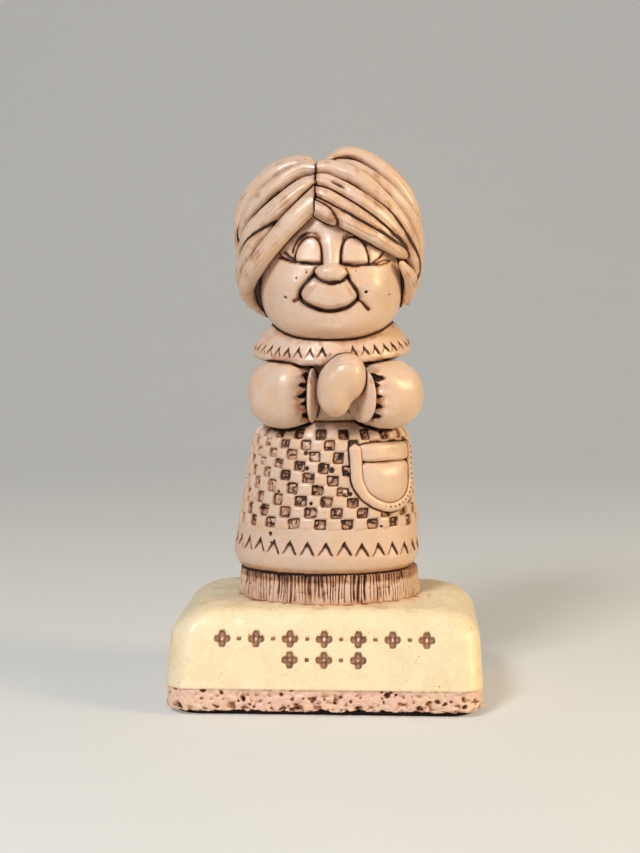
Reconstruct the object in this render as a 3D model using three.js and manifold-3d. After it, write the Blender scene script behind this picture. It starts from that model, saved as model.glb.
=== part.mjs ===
// Message doll: a grandmother figure with clasped hands, puffed sleeves and a checked apron dress,
// standing on a sloped plinth. Millimetres, +Z up. The doll faces -Y, so its own right is at -X.
// The origin is the centre of the plinth's footprint, on the surface that the doll stands on.
import * as THREE from "three";
import { ConvexGeometry } from "three/addons/geometries/ConvexGeometry.js";
import { mergeVertices } from "three/addons/utils/BufferGeometryUtils.js";
import Module from "manifold-3d";

const wasm = await Module();
wasm.setup();

// Seats: the gap left where one piece is shaped to another, and how far a cut runs past the face it opens
const SEAT_GAP = 0.3;
const OVERCUT = 1;

// Felt pad and plinth
const FELT_THICKNESS = 1;
const FELT_INSET = 2.5;
const PLINTH_WIDTH = 78.4;
const PLINTH_DEPTH = 56;
const PLINTH_HEIGHT = 24.3;
const PLINTH_BAND = 5.7; // upright rough band below the sloping faces
const PLINTH_FRONT_LEAN = 7; // how far each face leans in from the band up to the top
const PLINTH_BACK_LEAN = 2.7;
const PLINTH_SIDE_LEAN = 1;
const PLINTH_CORNER = 6;
const PLINTH_SHOULDER = 7.5; // height of the rounding under the top
const PLINTH_SHOULDER_FRONT = 3.5; // how far it rounds in at the front and back
const PLINTH_SHOULDER_SIDE = 10;
const PLINTH_FOOT_ROUND = 0.8;

// Figure's place on the plinth. It leans a little to the doll's left.
const FIGURE_Y = 3.3;
const HEM_X = -0.8;
const YOKE_X = 0.8;

// Petticoat
const PETTICOAT_X = 0.1;
const PETTICOAT_WIDTH = 47.4;
const PETTICOAT_DEPTH = 37;
const PETTICOAT_HEIGHT = 5.6;
const PETTICOAT_FLARE = 0.6;
const PLEAT_COUNT = 44;
const PLEAT_DEPTH = 0.8;

// Dress
const HEM_WIDTH = 50.2; // where the straight taper would meet the hem
const YOKE_WIDTH = 38.8; // where it would meet the top
const DRESS_HEIGHT = 40.1;
const DRESS_DEPTH_RATIO = 0.79;
const HEM_ROLL = 7.6;
const YOKE_ROUND = 6;
const CHECK_COLUMNS = 42;
const CHECK_ROWS = 9;
const CHECK_PHASE = 5; // degrees that the columns are turned round the dress
const CHECK_FOOT = 13.2; // plain border below the checks
const CHECK_HEAD = 1.6; // plain edge above the checks
const CHECK_PIT_DEPTH = 0.9;
const CHECK_PIT_DRAFT = 0.14; // slope of a pit's walls, as a share of its cell
const HEM_TOOTH_COUNT = 32;
const HEM_TOOTH_PHASE = 1.1; // degrees
const HEM_TOOTH_FOOT = 6.6;
const HEM_TOOTH_HEIGHT = 3.8;
const HEM_TOOTH_DEPTH = 0.9;
const TOOTH_SHARE = 0.8; // width of a chisel mark, as a share of its pitch
const TOOTH_LIP = 0.1; // how far its foot stands clear of the wall, as a share of its depth

// Pocket
const POCKET_ANGLE = 52; // degrees round the dress from its front
const POCKET_WIDTH = 18;
const POCKET_HEIGHT = 17.2;
const POCKET_DROP = 5.5; // from the top of the dress down to the pocket's top edge
const POCKET_TRIM = 2.2; // width of the raised edge
const POCKET_BAND = 4.6; // height of the turned-over top band
const POCKET_TRIM_THICKNESS = 1.3;
const POCKET_THICKNESS = 1.9;

// Bodice and neck
const BODICE_WIDTH = 31;
const BODICE_DEPTH = 25;
const BODICE_HEIGHT = 16.3; // from the dress up to the collar
const SHOULDER_ROUND = 9;
const NECK_WIDTH = 19;
const NECK_TUCK = 4; // how far the neck runs up behind the chin

// Sleeves, cuffs and hands
const ARM_X = 2.2; // the arms' own centre line lies a little to the doll's left
const ARM_RISE = 6.7; // above the top of the dress
const SLEEVE_SPREAD = 13.5;
const SLEEVE_FORWARD = 10.4;
const SLEEVE_LENGTH = 16.8;
const SLEEVE_DEPTH = 16.4;
const SLEEVE_HEIGHT = 17.2;
const SLEEVE_TURN = 34; // degrees that the forearm swings to the front
const GATHER_COUNT = 7;
const GATHER_DEPTH = 1;
const GATHER_FROM = 34; // degrees round the sleeve from its wrist end
const GATHER_TO = 58;
const GATHER_FAN = 72; // degrees above and below the sleeve's front
const GATHER_SPREAD = 7; // half of a gather's width, in degrees
const GATHER_PROUD = 1.2; // how far a gather's cutter stands out, as a share of the sleeve
const GATHER_RUNOUT = 1.02; // the same at its thin end
const PUFF = 2.2; // fullness of sleeves, cuffs and palms, where 2 is an ellipsoid
const RIGHT_CUFF_SPREAD = 5.6;
const RIGHT_CUFF_TURN = 5; // degrees
const LEFT_CUFF_SPREAD = 6.6;
const LEFT_CUFF_TURN = 32;
const CUFF_FORWARD = 16.4;
const CUFF_DIAMETER = 13.4;
const CUFF_THICKNESS = 2.4;
const HAND_X = 4;
const HAND_RISE = 2.9; // above the middle of the sleeves
const HAND_FORWARD = 19.4;
const HAND_WIDTH = 9;
const HAND_DEPTH = 11.4;
const HAND_HEIGHT = 16;
const HAND_APART = 1.5;
const FINGER_COUNT = 4;
const FINGER_DIAMETER = 2.4;
const FINGER_LENGTH = 3.6; // between the centres of its round ends
const FINGER_TOP = 5.4; // uppermost finger above the middle of the hands
const FINGER_PITCH = 1.9;
const FINGER_SLOPE = 8;
const FINGER_SINK = 0.6; // how far a finger lies in the palm, as a share of its radius

// Collar
const COLLAR_WIDTH = 40.8;
const COLLAR_DEPTH_RATIO = 0.86;
const COLLAR_RIM = 4;
const COLLAR_LEAN = 0.9; // how far the rim rounds in, above and below
const COLLAR_RISE = 4.8; // from the rim up to the crest
const COLLAR_CREST = 29; // diameter at which the slope above the rim ends
const COLLAR_TILT = 7; // degrees, front down
const COLLAR_TOOTH_COUNT = 44;
const COLLAR_TOOTH_FOOT = 1.5;
const COLLAR_TOOTH_DEPTH = 1;

// Head
const HEAD_X = 0.8;
const CHIN_RISE = 3.1; // above the collar's underside
const HEAD_WIDTH = 36.4;
const HEAD_DEPTH = 38.5;
const HEAD_RISE = 31;
const CHIN_DROP = 13.8; // from the cheeks, where the head is widest
const CHIN_FORWARD = 6.5; // how far the chin juts out
const HEAD_FULLNESS = 2.3; // 2 is an ellipsoid, more is boxier

// Face, measured from the middle of the face
const FACE_X = 0.6; // from the head's axis
const EYE_SPACING = 11.6;
const EYE_WIDTH = 6.6;
const EYE_HEIGHT = 5.8;
const EYE_ARCH = 0.7; // 1 is a round arch, less is squarer
const EYE_RISE = 6.7; // lower edge of the lids above the cheeks
const LID_LIFT = 1.4;
const LASH_LENGTH = 3.2;
const LASH_RISE = 0.9;
const NOSE_WIDTH = 8;
const NOSE_HEIGHT = 5;
const NOSE_LIFT = 3.4;
const NOSE_RISE = 3.4;
const SMILE_WIDTH = 14.4;
const SMILE_DROP = 5.8; // lowest point of the smile below the cheeks
const SMILE_CURL = 3.4;
const LAUGH_BOW = 0.65; // how far the laugh lines bow out, as a share of their run to the side
const MUZZLE_LIFT = 1.8;
const FACE_FULLNESS = 2.3;
const GROOVE_WIDTH = 1.2;
const GROOVE_DEPTH = 1.1;

// Hair
const HAIR_SIDE = 4.1; // how far the hair stands out from the head at each side
const HAIR_BACK = 2.25;
const HAIR_FRONT = 0.25;
const HAIR_TOP = 3.2;
const HAIR_HEIGHT = 45;
const HAIRLINE_FORWARD = 13; // the cap's front edge before the hair's middle, at its middle height
const HAIRLINE_SLOPE = 28; // degrees that the front edge leans forward
const NAPE_FULLNESS = 4;
const BACK_LOCK_COUNT = 12;
const BACK_LOCK_DEPTH = 1.2;
const LOCK_LIFT = 0.4; // height of the locks' middle line above the cap
const LOCK_THIN = 0.4; // height of a lock's ends, as a share of its full height

// The locks that frame the face, lowest first. A route's points are degrees round the hair from the front
// and degrees above its middle. Widths, at the start, the middle and the end, and heights are shares of the
// plain lock's half width and height.
const LOCK_WIDTH = 2;
const LOCK_HEIGHT = 2.2;
const LOCKS = {
  right_lock_1: {
    route: [[-8, 27], [-24, 8], [-46, -10], [-74, -25], [-89, -37], [-88, -54]],
    widthShares: [1.5, 1.6, 0.7],
    heightShare: 1.1,
  },
  right_lock_2: {
    route: [[-37, 14], [-54, -4], [-80, -20], [-88, -32]],
    widthShares: [0.4, 1, 0.6],
    heightShare: 0.95,
  },
  right_lock_3: {
    route: [[-8, 42], [-20, 36], [-38, 21], [-60, 5], [-87, -14]],
    widthShares: [1.3, 1.2, 0.6],
    heightShare: 1,
  },
  right_lock_4: {
    route: [[-11, 55], [-28, 52], [-49, 34], [-67, 16], [-86, 0]],
    widthShares: [1, 1.1, 0.6],
    heightShare: 1,
  },
  right_lock_5: {
    route: [[-28, 68], [-66, 65], [-80, 42], [-88, 14], [-94, -24]],
    widthShares: [1.8, 2.4, 1],
    heightShare: 1.5,
  },
  left_lock_1: {
    route: [[-6, 23], [-1, 19], [7, 11]],
    widthShares: [0.6, 0.55, 0.25],
    heightShare: 0.75,
  },
  left_lock_2: {
    route: [[-7, 28], [5, 19], [26, 8], [48, -4], [59, -7]],
    widthShares: [0.7, 0.9, 0.5],
    heightShare: 0.9,
  },
  left_lock_3: {
    route: [[-8, 36], [3, 30], [25, 15], [46, 2], [57, -3]],
    widthShares: [0.8, 0.9, 0.5],
    heightShare: 0.95,
  },
  left_lock_4: {
    route: [[-9, 46], [3, 42], [26, 26], [44, 10], [66, -8], [76, -22]],
    widthShares: [1, 1.2, 0.5],
    heightShare: 1,
  },
  left_lock_5: {
    route: [[-12, 58], [8, 56], [33, 39], [55, 10], [74, -11], [84, -32]],
    widthShares: [1.1, 1.1, 0.6],
    heightShare: 1.1,
  },
  left_lock_6: {
    route: [[12, 68], [36, 56], [55, 31], [76, 11], [89, -16], [92, -34]],
    widthShares: [0.9, 1.1, 0.6],
    heightShare: 1,
  },
  left_lock_7: {
    route: [[-2, 76], [60, 74], [78, 52], [87, 24], [95, -12], [98, -30]],
    widthShares: [1.8, 2.4, 1],
    heightShare: 1.7,
  },
  left_lock_8: {
    route: [[50, -10], [70, -22], [82, -30], [86, -42]],
    widthShares: [0.6, 0.9, 0.45],
    heightShare: 0.75,
  },
};

// Dowels
const BASE_DOWEL_DIAMETER = 8;
const BASE_DOWEL_BELOW = 15;
const BASE_DOWEL_ABOVE = 20;
const NECK_DOWEL_DIAMETER = 6;
const NECK_DOWEL_BELOW = 10;
const NECK_DOWEL_ABOVE = 9;

// Facets
const CORNER_STEPS = 4;
const SHOULDER_STEPS = 4;
const ROUND_SEGMENTS = 16;
const OVAL_SEGMENTS = 18;
const BALL_SEGMENTS = 11;
const BALL_RING_SHARE = 0.65; // rings of a ball to each of its segments
const HEAD_SEGMENTS = 20;
const FACE_SEGMENTS = 12;
const LOCK_SIDES = 6;
const LOCK_STEPS = 6;
const GROOVE_SIDES = 4;
const GROOVE_STEPS = 5;
const FINGER_SIDES = 6;

// Levels up the stack
const plinthTop = FELT_THICKNESS + PLINTH_HEIGHT;
const hemZ = plinthTop + PETTICOAT_HEIGHT;
const dressTop = hemZ + DRESS_HEIGHT;
const armZ = dressTop + ARM_RISE;
const handZ = armZ + HAND_RISE;
const collarZ = dressTop + BODICE_HEIGHT;
const chinZ = collarZ + CHIN_RISE;
const cheekZ = chinZ + CHIN_DROP;

const up = new THREE.Vector3(0, 0, 1);
const radians = THREE.MathUtils.degToRad;
const lerp = THREE.MathUtils.lerp;

// Solids

// A closed geometry as a solid that can be joined and cut.
function solidOf(geometry) {
  const bare = geometry.clone();
  bare.deleteAttribute("normal");
  bare.deleteAttribute("uv");
  const merged = mergeVertices(bare, 1e-4);
  const corners = merged.index.array;
  const kept = [];
  for (let i = 0; i < corners.length; i += 3) {
    const [a, b, c] = corners.slice(i, i + 3);
    if (a !== b && b !== c && c !== a) kept.push(a, b, c);
  }
  return new wasm.Manifold(
    new wasm.Mesh({
      numProp: 3,
      vertProperties: merged.attributes.position.array,
      triVerts: new Uint32Array(kept),
    }),
  );
}

// A solid's triangles as a geometry.
function geometryOf(solid) {
  const { vertProperties, triVerts } = solid.getMesh();
  const geometry = new THREE.BufferGeometry();
  geometry.setAttribute("position", new THREE.BufferAttribute(vertProperties, 3));
  geometry.setIndex(new THREE.BufferAttribute(triVerts, 1));
  geometry.computeVertexNormals();
  return geometry;
}

// The largest body of a solid, without the crumbs that a cut can leave.
function largest(solid) {
  return solid.decompose().reduce((a, b) => (b.volume() > a.volume() ? b : a));
}

// A piece shaped to sit against its neighbours, which are given grown by the seat gap.
function seat(piece, ...neighbours) {
  return largest(neighbours.reduce((left, n) => left.subtract(n), piece));
}

// A closed skin over a row of rings with equal point counts, each anticlockwise seen from the last one.
// Where dent(ring, point) gives four inner corners, that cell of the skin is sunk to them.
function loft(rings, dent = () => null) {
  const count = rings[0].length;
  const points = rings.flat();
  const faces = [];
  const quad = (a, b, c, d) => faces.push(a, b, c, a, c, d);
  for (let k = 0; k + 1 < rings.length; k++) {
    for (let i = 0; i < count; i++) {
      const [here, next] = [k * count + i, k * count + ((i + 1) % count)];
      const cell = [here, next, next + count, here + count];
      const sunk = dent(k, i);
      if (!sunk) {
        quad(...cell);
        continue;
      }
      const floor = sunk.map((corner) => points.push(corner) - 1);
      quad(...floor);
      cell.forEach((from, s) => quad(from, cell[(s + 1) % 4], floor[(s + 1) % 4], floor[s]));
    }
  }
  const last = (rings.length - 1) * count;
  const middle = (ring) => ring.reduce((sum, p) => sum.add(p), new THREE.Vector3()).divideScalar(count);
  const foot = points.push(middle(rings[0])) - 1;
  const head = points.push(middle(rings[rings.length - 1])) - 1;
  for (let i = 0; i < count; i++) {
    const next = (i + 1) % count;
    faces.push(foot, next, i, head, last + i, last + next);
  }
  return new THREE.BufferGeometry().setFromPoints(points).setIndex(faces);
}

// A level oval ring.
function ovalRing(halfWidth, halfDepth, z, segments = OVAL_SEGMENTS) {
  return Array.from({ length: segments }, (_, i) => {
    const angle = (i / segments) * 2 * Math.PI;
    return new THREE.Vector3(halfWidth * Math.cos(angle), halfDepth * Math.sin(angle), z);
  });
}

// A level rectangle with rounded corners, reaching its own distances to the front and to the back.
function cornerRing(halfWidth, front, back, corner, z) {
  const ring = [];
  for (let quarter = 0; quarter < 4; quarter++) {
    const x = (halfWidth - corner) * (quarter === 0 || quarter === 3 ? 1 : -1);
    const y = quarter < 2 ? back - corner : corner - front;
    for (let step = 0; step <= CORNER_STEPS; step++) {
      const angle = ((quarter + step / CORNER_STEPS) * Math.PI) / 2;
      ring.push(new THREE.Vector3(x + corner * Math.cos(angle), y + corner * Math.sin(angle), z));
    }
  }
  return ring;
}

// A point moved onto a unit ball that is fuller than a sphere where fullness is over 2.
function fuller(point, fullness) {
  const sum = point.toArray().reduce((s, v) => s + Math.abs(v) ** fullness, 0);
  return point.multiplyScalar(sum ** (-1 / fullness));
}

// A ball with three half sizes, fuller than an ellipsoid where fullness is over 2.
function ball(halfX, halfY, above, below, fullness = 2, segments = BALL_SEGMENTS) {
  const geometry = new THREE.SphereGeometry(1, segments, Math.round(segments * BALL_RING_SHARE));
  geometry.rotateX(Math.PI / 2);
  const at = geometry.getAttribute("position");
  for (let i = 0; i < at.count; i++) {
    const p = fuller(new THREE.Vector3().fromBufferAttribute(at, i), fullness);
    at.setXYZ(i, p.x * halfX, p.y * halfY, p.z * (p.z > 0 ? above : below));
  }
  return geometry;
}

// An upright round bar between two heights.
function bar(diameter, low, high) {
  const geometry = new THREE.CylinderGeometry(diameter / 2, diameter / 2, high - low, ROUND_SEGMENTS);
  return geometry.rotateX(Math.PI / 2).translate(0, FIGURE_Y, (low + high) / 2);
}

// A tube along a path that bows over a centre. Its half width lies along the surface, its half height
// points away from the centre, and both are functions of the way along the path, from 0 to 1.
function strand(path, centre, halfWidth, halfHeight, sides = LOCK_SIDES, steps = LOCK_STEPS) {
  const rings = Array.from({ length: steps + 1 }, (_, k) => {
    const t = k / steps;
    const point = path.getPointAt(t);
    const tangent = path.getTangentAt(t);
    const out = point.clone().sub(centre);
    out.addScaledVector(tangent, -out.dot(tangent)).normalize();
    const across = out.clone().cross(tangent);
    return Array.from({ length: sides }, (_, i) => {
      const angle = (i / sides) * 2 * Math.PI;
      return point
        .clone()
        .addScaledVector(across, halfWidth(t) * Math.cos(angle))
        .addScaledVector(out, halfHeight(t) * Math.sin(angle));
    });
  });
  return loft(rings);
}

// A chisel mark between two points on a wall: deepest at its tip, running out along its foot.
function tooth(foot, tip, along, width, depth) {
  const out = along.clone().cross(up);
  const lip = foot.clone().addScaledVector(out, depth * TOOTH_LIP);
  return new ConvexGeometry([
    tip.clone().addScaledVector(out, depth),
    tip.clone().addScaledVector(out, -depth),
    lip.clone().addScaledVector(along, -width / 2),
    lip.clone().addScaledVector(along, width / 2),
  ]);
}

// Felt pad, plinth and petticoat

function feltPad() {
  const halfWidth = PLINTH_WIDTH / 2 - FELT_INSET;
  const halfDepth = PLINTH_DEPTH / 2 - FELT_INSET;
  const rings = [0, FELT_THICKNESS].map((z) =>
    cornerRing(halfWidth, halfDepth, halfDepth, PLINTH_CORNER, z),
  );
  return solidOf(loft(rings));
}

function plinth() {
  const slopeFoot = FELT_THICKNESS + PLINTH_BAND;
  const lean = (z) => Math.max(0, z - slopeFoot) / (plinthTop - slopeFoot);
  const ring = (z, side, front = side) =>
    cornerRing(
      PLINTH_WIDTH / 2 - PLINTH_SIDE_LEAN * lean(z) - side,
      PLINTH_DEPTH / 2 - PLINTH_FRONT_LEAN * lean(z) - front,
      PLINTH_DEPTH / 2 - PLINTH_BACK_LEAN * lean(z) - front,
      PLINTH_CORNER,
      z,
    );
  const rings = [
    ring(FELT_THICKNESS, PLINTH_FOOT_ROUND),
    ring(FELT_THICKNESS + PLINTH_FOOT_ROUND, 0),
    ring(slopeFoot, 0),
  ];
  for (let step = 0; step <= SHOULDER_STEPS; step++) {
    const angle = ((step / SHOULDER_STEPS) * Math.PI) / 2;
    const z = plinthTop - PLINTH_SHOULDER * (1 - Math.sin(angle));
    const round = 1 - Math.cos(angle);
    rings.push(ring(z, PLINTH_SHOULDER_SIDE * round, PLINTH_SHOULDER_FRONT * round));
  }
  const socketFloor = plinthTop - BASE_DOWEL_BELOW - SEAT_GAP;
  const socket = bar(BASE_DOWEL_DIAMETER + 2 * SEAT_GAP, socketFloor, plinthTop + OVERCUT);
  return solidOf(loft(rings)).subtract(solidOf(socket));
}

function petticoat() {
  const ring = (z, flare) =>
    Array.from({ length: PLEAT_COUNT * 2 }, (_, i) => {
      const angle = (i / PLEAT_COUNT) * Math.PI;
      const fold = flare - (i % 2 ? PLEAT_DEPTH : 0);
      return new THREE.Vector3(
        PETTICOAT_X + (PETTICOAT_WIDTH / 2 + fold) * Math.cos(angle),
        FIGURE_Y + (PETTICOAT_DEPTH / 2 + fold) * Math.sin(angle),
        z,
      );
    });
  const pleated = solidOf(loft([ring(plinthTop, 0), ring(hemZ, -PETTICOAT_FLARE)]));
  const bore = bar(BASE_DOWEL_DIAMETER + 2 * SEAT_GAP, plinthTop - OVERCUT, hemZ + OVERCUT);
  return pleated.subtract(solidOf(bore));
}

// Dress and pocket

// The dress's half width at a height: a straight taper, rolled in at the hem and at the yoke.
function dressHalfWidth(z) {
  const taper = lerp(HEM_WIDTH, YOKE_WIDTH, (z - hemZ) / DRESS_HEIGHT) / 2;
  const roll = (radius, depth) =>
    radius - Math.sqrt(Math.max(0, radius ** 2 - Math.max(0, depth) ** 2));
  return taper - roll(HEM_ROLL, hemZ + HEM_ROLL - z) - roll(YOKE_ROUND, z - dressTop + YOKE_ROUND);
}

// A point on the dress at an angle from +X and a height, pushed out by some distance.
function onDress(angle, z, push = 0) {
  const half = dressHalfWidth(z);
  return new THREE.Vector3(
    lerp(HEM_X, YOKE_X, (z - hemZ) / DRESS_HEIGHT) + (half + push) * Math.cos(angle),
    FIGURE_Y + (half * DRESS_DEPTH_RATIO + push) * Math.sin(angle),
    z,
  );
}

// Heights of the plain rings below and above the checks.
function dressLevels() {
  const hem = [0, 0.1, 0.4, 1].map((share) => hemZ + HEM_ROLL * share);
  const yoke = [0.88, 1].map((share) => dressTop - YOKE_ROUND * (1 - share));
  const checkLow = hemZ + CHECK_FOOT;
  const checkHigh = dressTop - CHECK_HEAD;
  const rows = Array.from({ length: CHECK_ROWS + 1 }, (_, i) => lerp(checkLow, checkHigh, i / CHECK_ROWS));
  return { hem: hem.filter((z) => z < checkLow), rows, yoke: yoke.filter((z) => z > checkHigh) };
}

// The dress's outer shape, grown by some distance, with its checks sunk into it or without them.
function dressForm(push, checked = false) {
  const { hem, rows, yoke } = dressLevels();
  const angleAt = (column) => (column / CHECK_COLUMNS) * 2 * Math.PI + radians(CHECK_PHASE);
  const ring = (z) => Array.from({ length: CHECK_COLUMNS }, (_, i) => onDress(angleAt(i), z, push));
  const straight = (row) => row > 0 && rows[row + 1] < dressTop - YOKE_ROUND;
  const middle = checked ? rows : rows.filter((_, row) => !straight(row));
  const rings = [...hem, ...middle, ...yoke].map(ring);
  rings[0].forEach((p) => (p.z -= push));
  rings[rings.length - 1].forEach((p) => (p.z += push));
  const pit = (k, column) => {
    const row = k - hem.length;
    if (!checked || row < 0 || row >= CHECK_ROWS || (row + column) % 2) return null;
    const near = CHECK_PIT_DRAFT;
    const far = 1 - CHECK_PIT_DRAFT;
    return [[near, near], [far, near], [far, far], [near, far]].map(([across, rise]) =>
      onDress(angleAt(column + across), lerp(rows[row], rows[row + 1], rise), -CHECK_PIT_DEPTH),
    );
  };
  return solidOf(loft(rings, pit));
}

function dress() {
  const marks = [];
  const girth = (Math.PI * HEM_WIDTH * (1 + DRESS_DEPTH_RATIO)) / 2;
  const toothWidth = (TOOTH_SHARE * girth) / HEM_TOOTH_COUNT;
  for (let i = 0; i < HEM_TOOTH_COUNT; i++) {
    const angle = (i / HEM_TOOTH_COUNT) * 2 * Math.PI + radians(HEM_TOOTH_PHASE);
    const foot = onDress(angle, hemZ + HEM_TOOTH_FOOT);
    const tip = onDress(angle, foot.z + HEM_TOOTH_HEIGHT);
    const along = new THREE.Vector3(-Math.sin(angle), DRESS_DEPTH_RATIO * Math.cos(angle), 0).normalize();
    marks.push(solidOf(tooth(foot, tip, along, toothWidth, HEM_TOOTH_DEPTH)));
  }
  const baseRoof = plinthTop + BASE_DOWEL_ABOVE + SEAT_GAP;
  const baseSocket = bar(BASE_DOWEL_DIAMETER + 2 * SEAT_GAP, hemZ - OVERCUT, baseRoof);
  const neckFloor = dressTop - NECK_DOWEL_BELOW - SEAT_GAP;
  const neckSocket = bar(NECK_DOWEL_DIAMETER + 2 * SEAT_GAP, neckFloor, dressTop + OVERCUT);
  const cuts = wasm.Manifold.union([...marks, solidOf(baseSocket), solidOf(neckSocket)]);
  return dressForm(0, true).subtract(cuts);
}

// The pocket's outline, drawn in by a margin all round: straight on top, round below.
function pocketOutline(margin, top, bottom) {
  const half = POCKET_WIDTH / 2 - margin;
  const shape = new THREE.Shape();
  shape.moveTo(-half, top);
  shape.lineTo(-half, bottom + half);
  shape.absarc(0, bottom + half, half, Math.PI, 2 * Math.PI, false);
  shape.lineTo(half, top);
  shape.closePath();
  return shape;
}

// An outline carried straight out from inside the dress, facing the pocket's own way.
function pocketPrism(shape) {
  const reach = HEM_WIDTH;
  const geometry = new THREE.ExtrudeGeometry(shape, { depth: reach, bevelEnabled: false, curveSegments: 6 });
  geometry.rotateX(Math.PI / 2);
  geometry.rotateZ(radians(POCKET_ANGLE));
  return solidOf(geometry.translate(0, FIGURE_Y, 0));
}

// A layer of the given thickness lying on the dress within an outline.
function pocketLayer(shape, thickness) {
  return largest(
    pocketPrism(shape)
      .intersect(dressForm(SEAT_GAP + thickness))
      .subtract(dressForm(SEAT_GAP)),
  );
}

function pocketPieces() {
  const top = dressTop - POCKET_DROP;
  const bottom = top - POCKET_HEIGHT;
  const bandFoot = top - POCKET_TRIM / 2 - POCKET_BAND;
  const hollow = pocketPrism(pocketOutline(POCKET_TRIM, top + OVERCUT, bottom + POCKET_TRIM));
  const inner = POCKET_TRIM + SEAT_GAP;
  const bandShape = new THREE.Shape();
  const half = POCKET_WIDTH / 2 - inner;
  bandShape.moveTo(-half, bandFoot + SEAT_GAP);
  bandShape.lineTo(half, bandFoot + SEAT_GAP);
  bandShape.lineTo(half, top);
  bandShape.lineTo(-half, top);
  bandShape.closePath();
  return {
    pocket_trim: largest(pocketLayer(pocketOutline(0, top, bottom), POCKET_TRIM_THICKNESS).subtract(hollow)),
    pocket: pocketLayer(pocketOutline(inner, bandFoot, bottom + inner), POCKET_THICKNESS),
    pocket_band: pocketLayer(bandShape, POCKET_THICKNESS),
  };
}

// Head and face

const headCentre = new THREE.Vector3(HEAD_X, FIGURE_Y, cheekZ);

// How far the chin juts out at a height above the cheeks, or below them where it is negative.
function chinJut(rise) {
  return CHIN_FORWARD * Math.min(0, rise / CHIN_DROP) ** 2;
}

function headForm(grow) {
  const form = ball(
    HEAD_WIDTH / 2 + grow,
    HEAD_DEPTH / 2 + grow,
    HEAD_RISE + grow,
    CHIN_DROP + grow,
    HEAD_FULLNESS,
    HEAD_SEGMENTS,
  );
  const at = form.getAttribute("position");
  for (let i = 0; i < at.count; i++) at.setY(i, at.getY(i) - chinJut(at.getZ(i)));
  return solidOf(form.translate(...headCentre));
}

// A point on the front of the head, from its distance beside the face's middle and above the cheeks.
function onFace(across, rise) {
  const x = FACE_X + across;
  const shares = [x / (HEAD_WIDTH / 2), rise / (rise > 0 ? HEAD_RISE : CHIN_DROP)];
  const left = shares.reduce((rest, share) => rest - Math.abs(share) ** HEAD_FULLNESS, 1);
  const depth = (HEAD_DEPTH / 2) * Math.max(0, left) ** (1 / HEAD_FULLNESS);
  return headCentre.clone().add(new THREE.Vector3(x, -depth - chinJut(rise), rise));
}

// A V-shaped groove through points on the face.
function faceGroove(points) {
  const path = new THREE.CatmullRomCurve3(points.map(([across, rise]) => onFace(across, rise)));
  const [halfWidth, depth] = [() => GROOVE_WIDTH / 2, () => GROOVE_DEPTH];
  return solidOf(strand(path, headCentre, halfWidth, depth, GROOVE_SIDES, GROOVE_STEPS));
}

// A dome set on the face, with its own heights above and below its widest line.
function faceDome(across, rise, width, lift, above, below) {
  const dome = ball(width / 2, lift, above, below, FACE_FULLNESS, FACE_SEGMENTS);
  return solidOf(dome.translate(...onFace(across, rise)));
}

// One eye: a closed lid, the groove that arches over it, and the lash line below it.
function eye(side) {
  const middle = (side * EYE_SPACING) / 2;
  const half = EYE_WIDTH / 2;
  const arch = [0, 0.25, 0.5, 0.75, 1].map((share) => [
    middle - half * Math.cos(share * Math.PI),
    EYE_RISE + EYE_HEIGHT * Math.sin(share * Math.PI) ** EYE_ARCH,
  ]);
  const lashes = [
    [middle - side * half, EYE_RISE],
    [middle, EYE_RISE],
    [middle + side * (half + LASH_LENGTH), EYE_RISE + LASH_RISE],
  ];
  const lid = faceDome(middle, EYE_RISE, EYE_WIDTH - GROOVE_WIDTH, LID_LIFT, EYE_HEIGHT, GROOVE_WIDTH / 2);
  return { lid, grooves: [arch, lashes] };
}

// The smile, and the laugh lines that run from the nose to its corners.
function smileLines() {
  const smile = [-1, -0.5, 0, 0.5, 1].map((share) => [
    (share * SMILE_WIDTH) / 2,
    SMILE_CURL * share ** 2 - SMILE_DROP,
  ]);
  const laughs = [-1, 1].map((side) => {
    const wing = [(side * NOSE_WIDTH) / 2, NOSE_RISE];
    const corner = [(side * SMILE_WIDTH) / 2, SMILE_CURL - SMILE_DROP];
    const bow = [lerp(wing[0], corner[0], LAUGH_BOW), (wing[1] + corner[1]) / 2];
    return [wing, bow, corner];
  });
  return [smile, ...laughs];
}

function head() {
  const eyes = [-1, 1].map(eye);
  const corner = SMILE_CURL - SMILE_DROP;
  const muzzleWidth = SMILE_WIDTH - GROOVE_WIDTH;
  const muzzle = faceDome(0, corner, muzzleWidth, MUZZLE_LIFT, NOSE_RISE - corner, SMILE_CURL);
  const nose = faceDome(0, NOSE_RISE, NOSE_WIDTH, NOSE_LIFT, NOSE_HEIGHT / 2, NOSE_HEIGHT / 2);
  const lines = [...eyes.flatMap((e) => e.grooves), ...smileLines()].map(faceGroove);
  const socketRoof = chinZ + NECK_DOWEL_ABOVE + SEAT_GAP;
  const socket = solidOf(bar(NECK_DOWEL_DIAMETER + 2 * SEAT_GAP, chinZ - OVERCUT, socketRoof));
  const face = wasm.Manifold.union([headForm(0), muzzle, ...eyes.map((e) => e.lid)]);
  return largest(face.subtract(wasm.Manifold.union(lines)).add(nose).subtract(socket));
}

// Hair

const hairHalves = new THREE.Vector3(
  HEAD_WIDTH / 2 + HAIR_SIDE,
  (HEAD_DEPTH + HAIR_BACK + HAIR_FRONT) / 2,
  HAIR_HEIGHT / 2,
);
const hairCentre = new THREE.Vector3(
  0,
  FIGURE_Y + (HAIR_BACK - HAIR_FRONT) / 2,
  cheekZ + HEAD_RISE + HAIR_TOP - HAIR_HEIGHT / 2,
);

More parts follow.
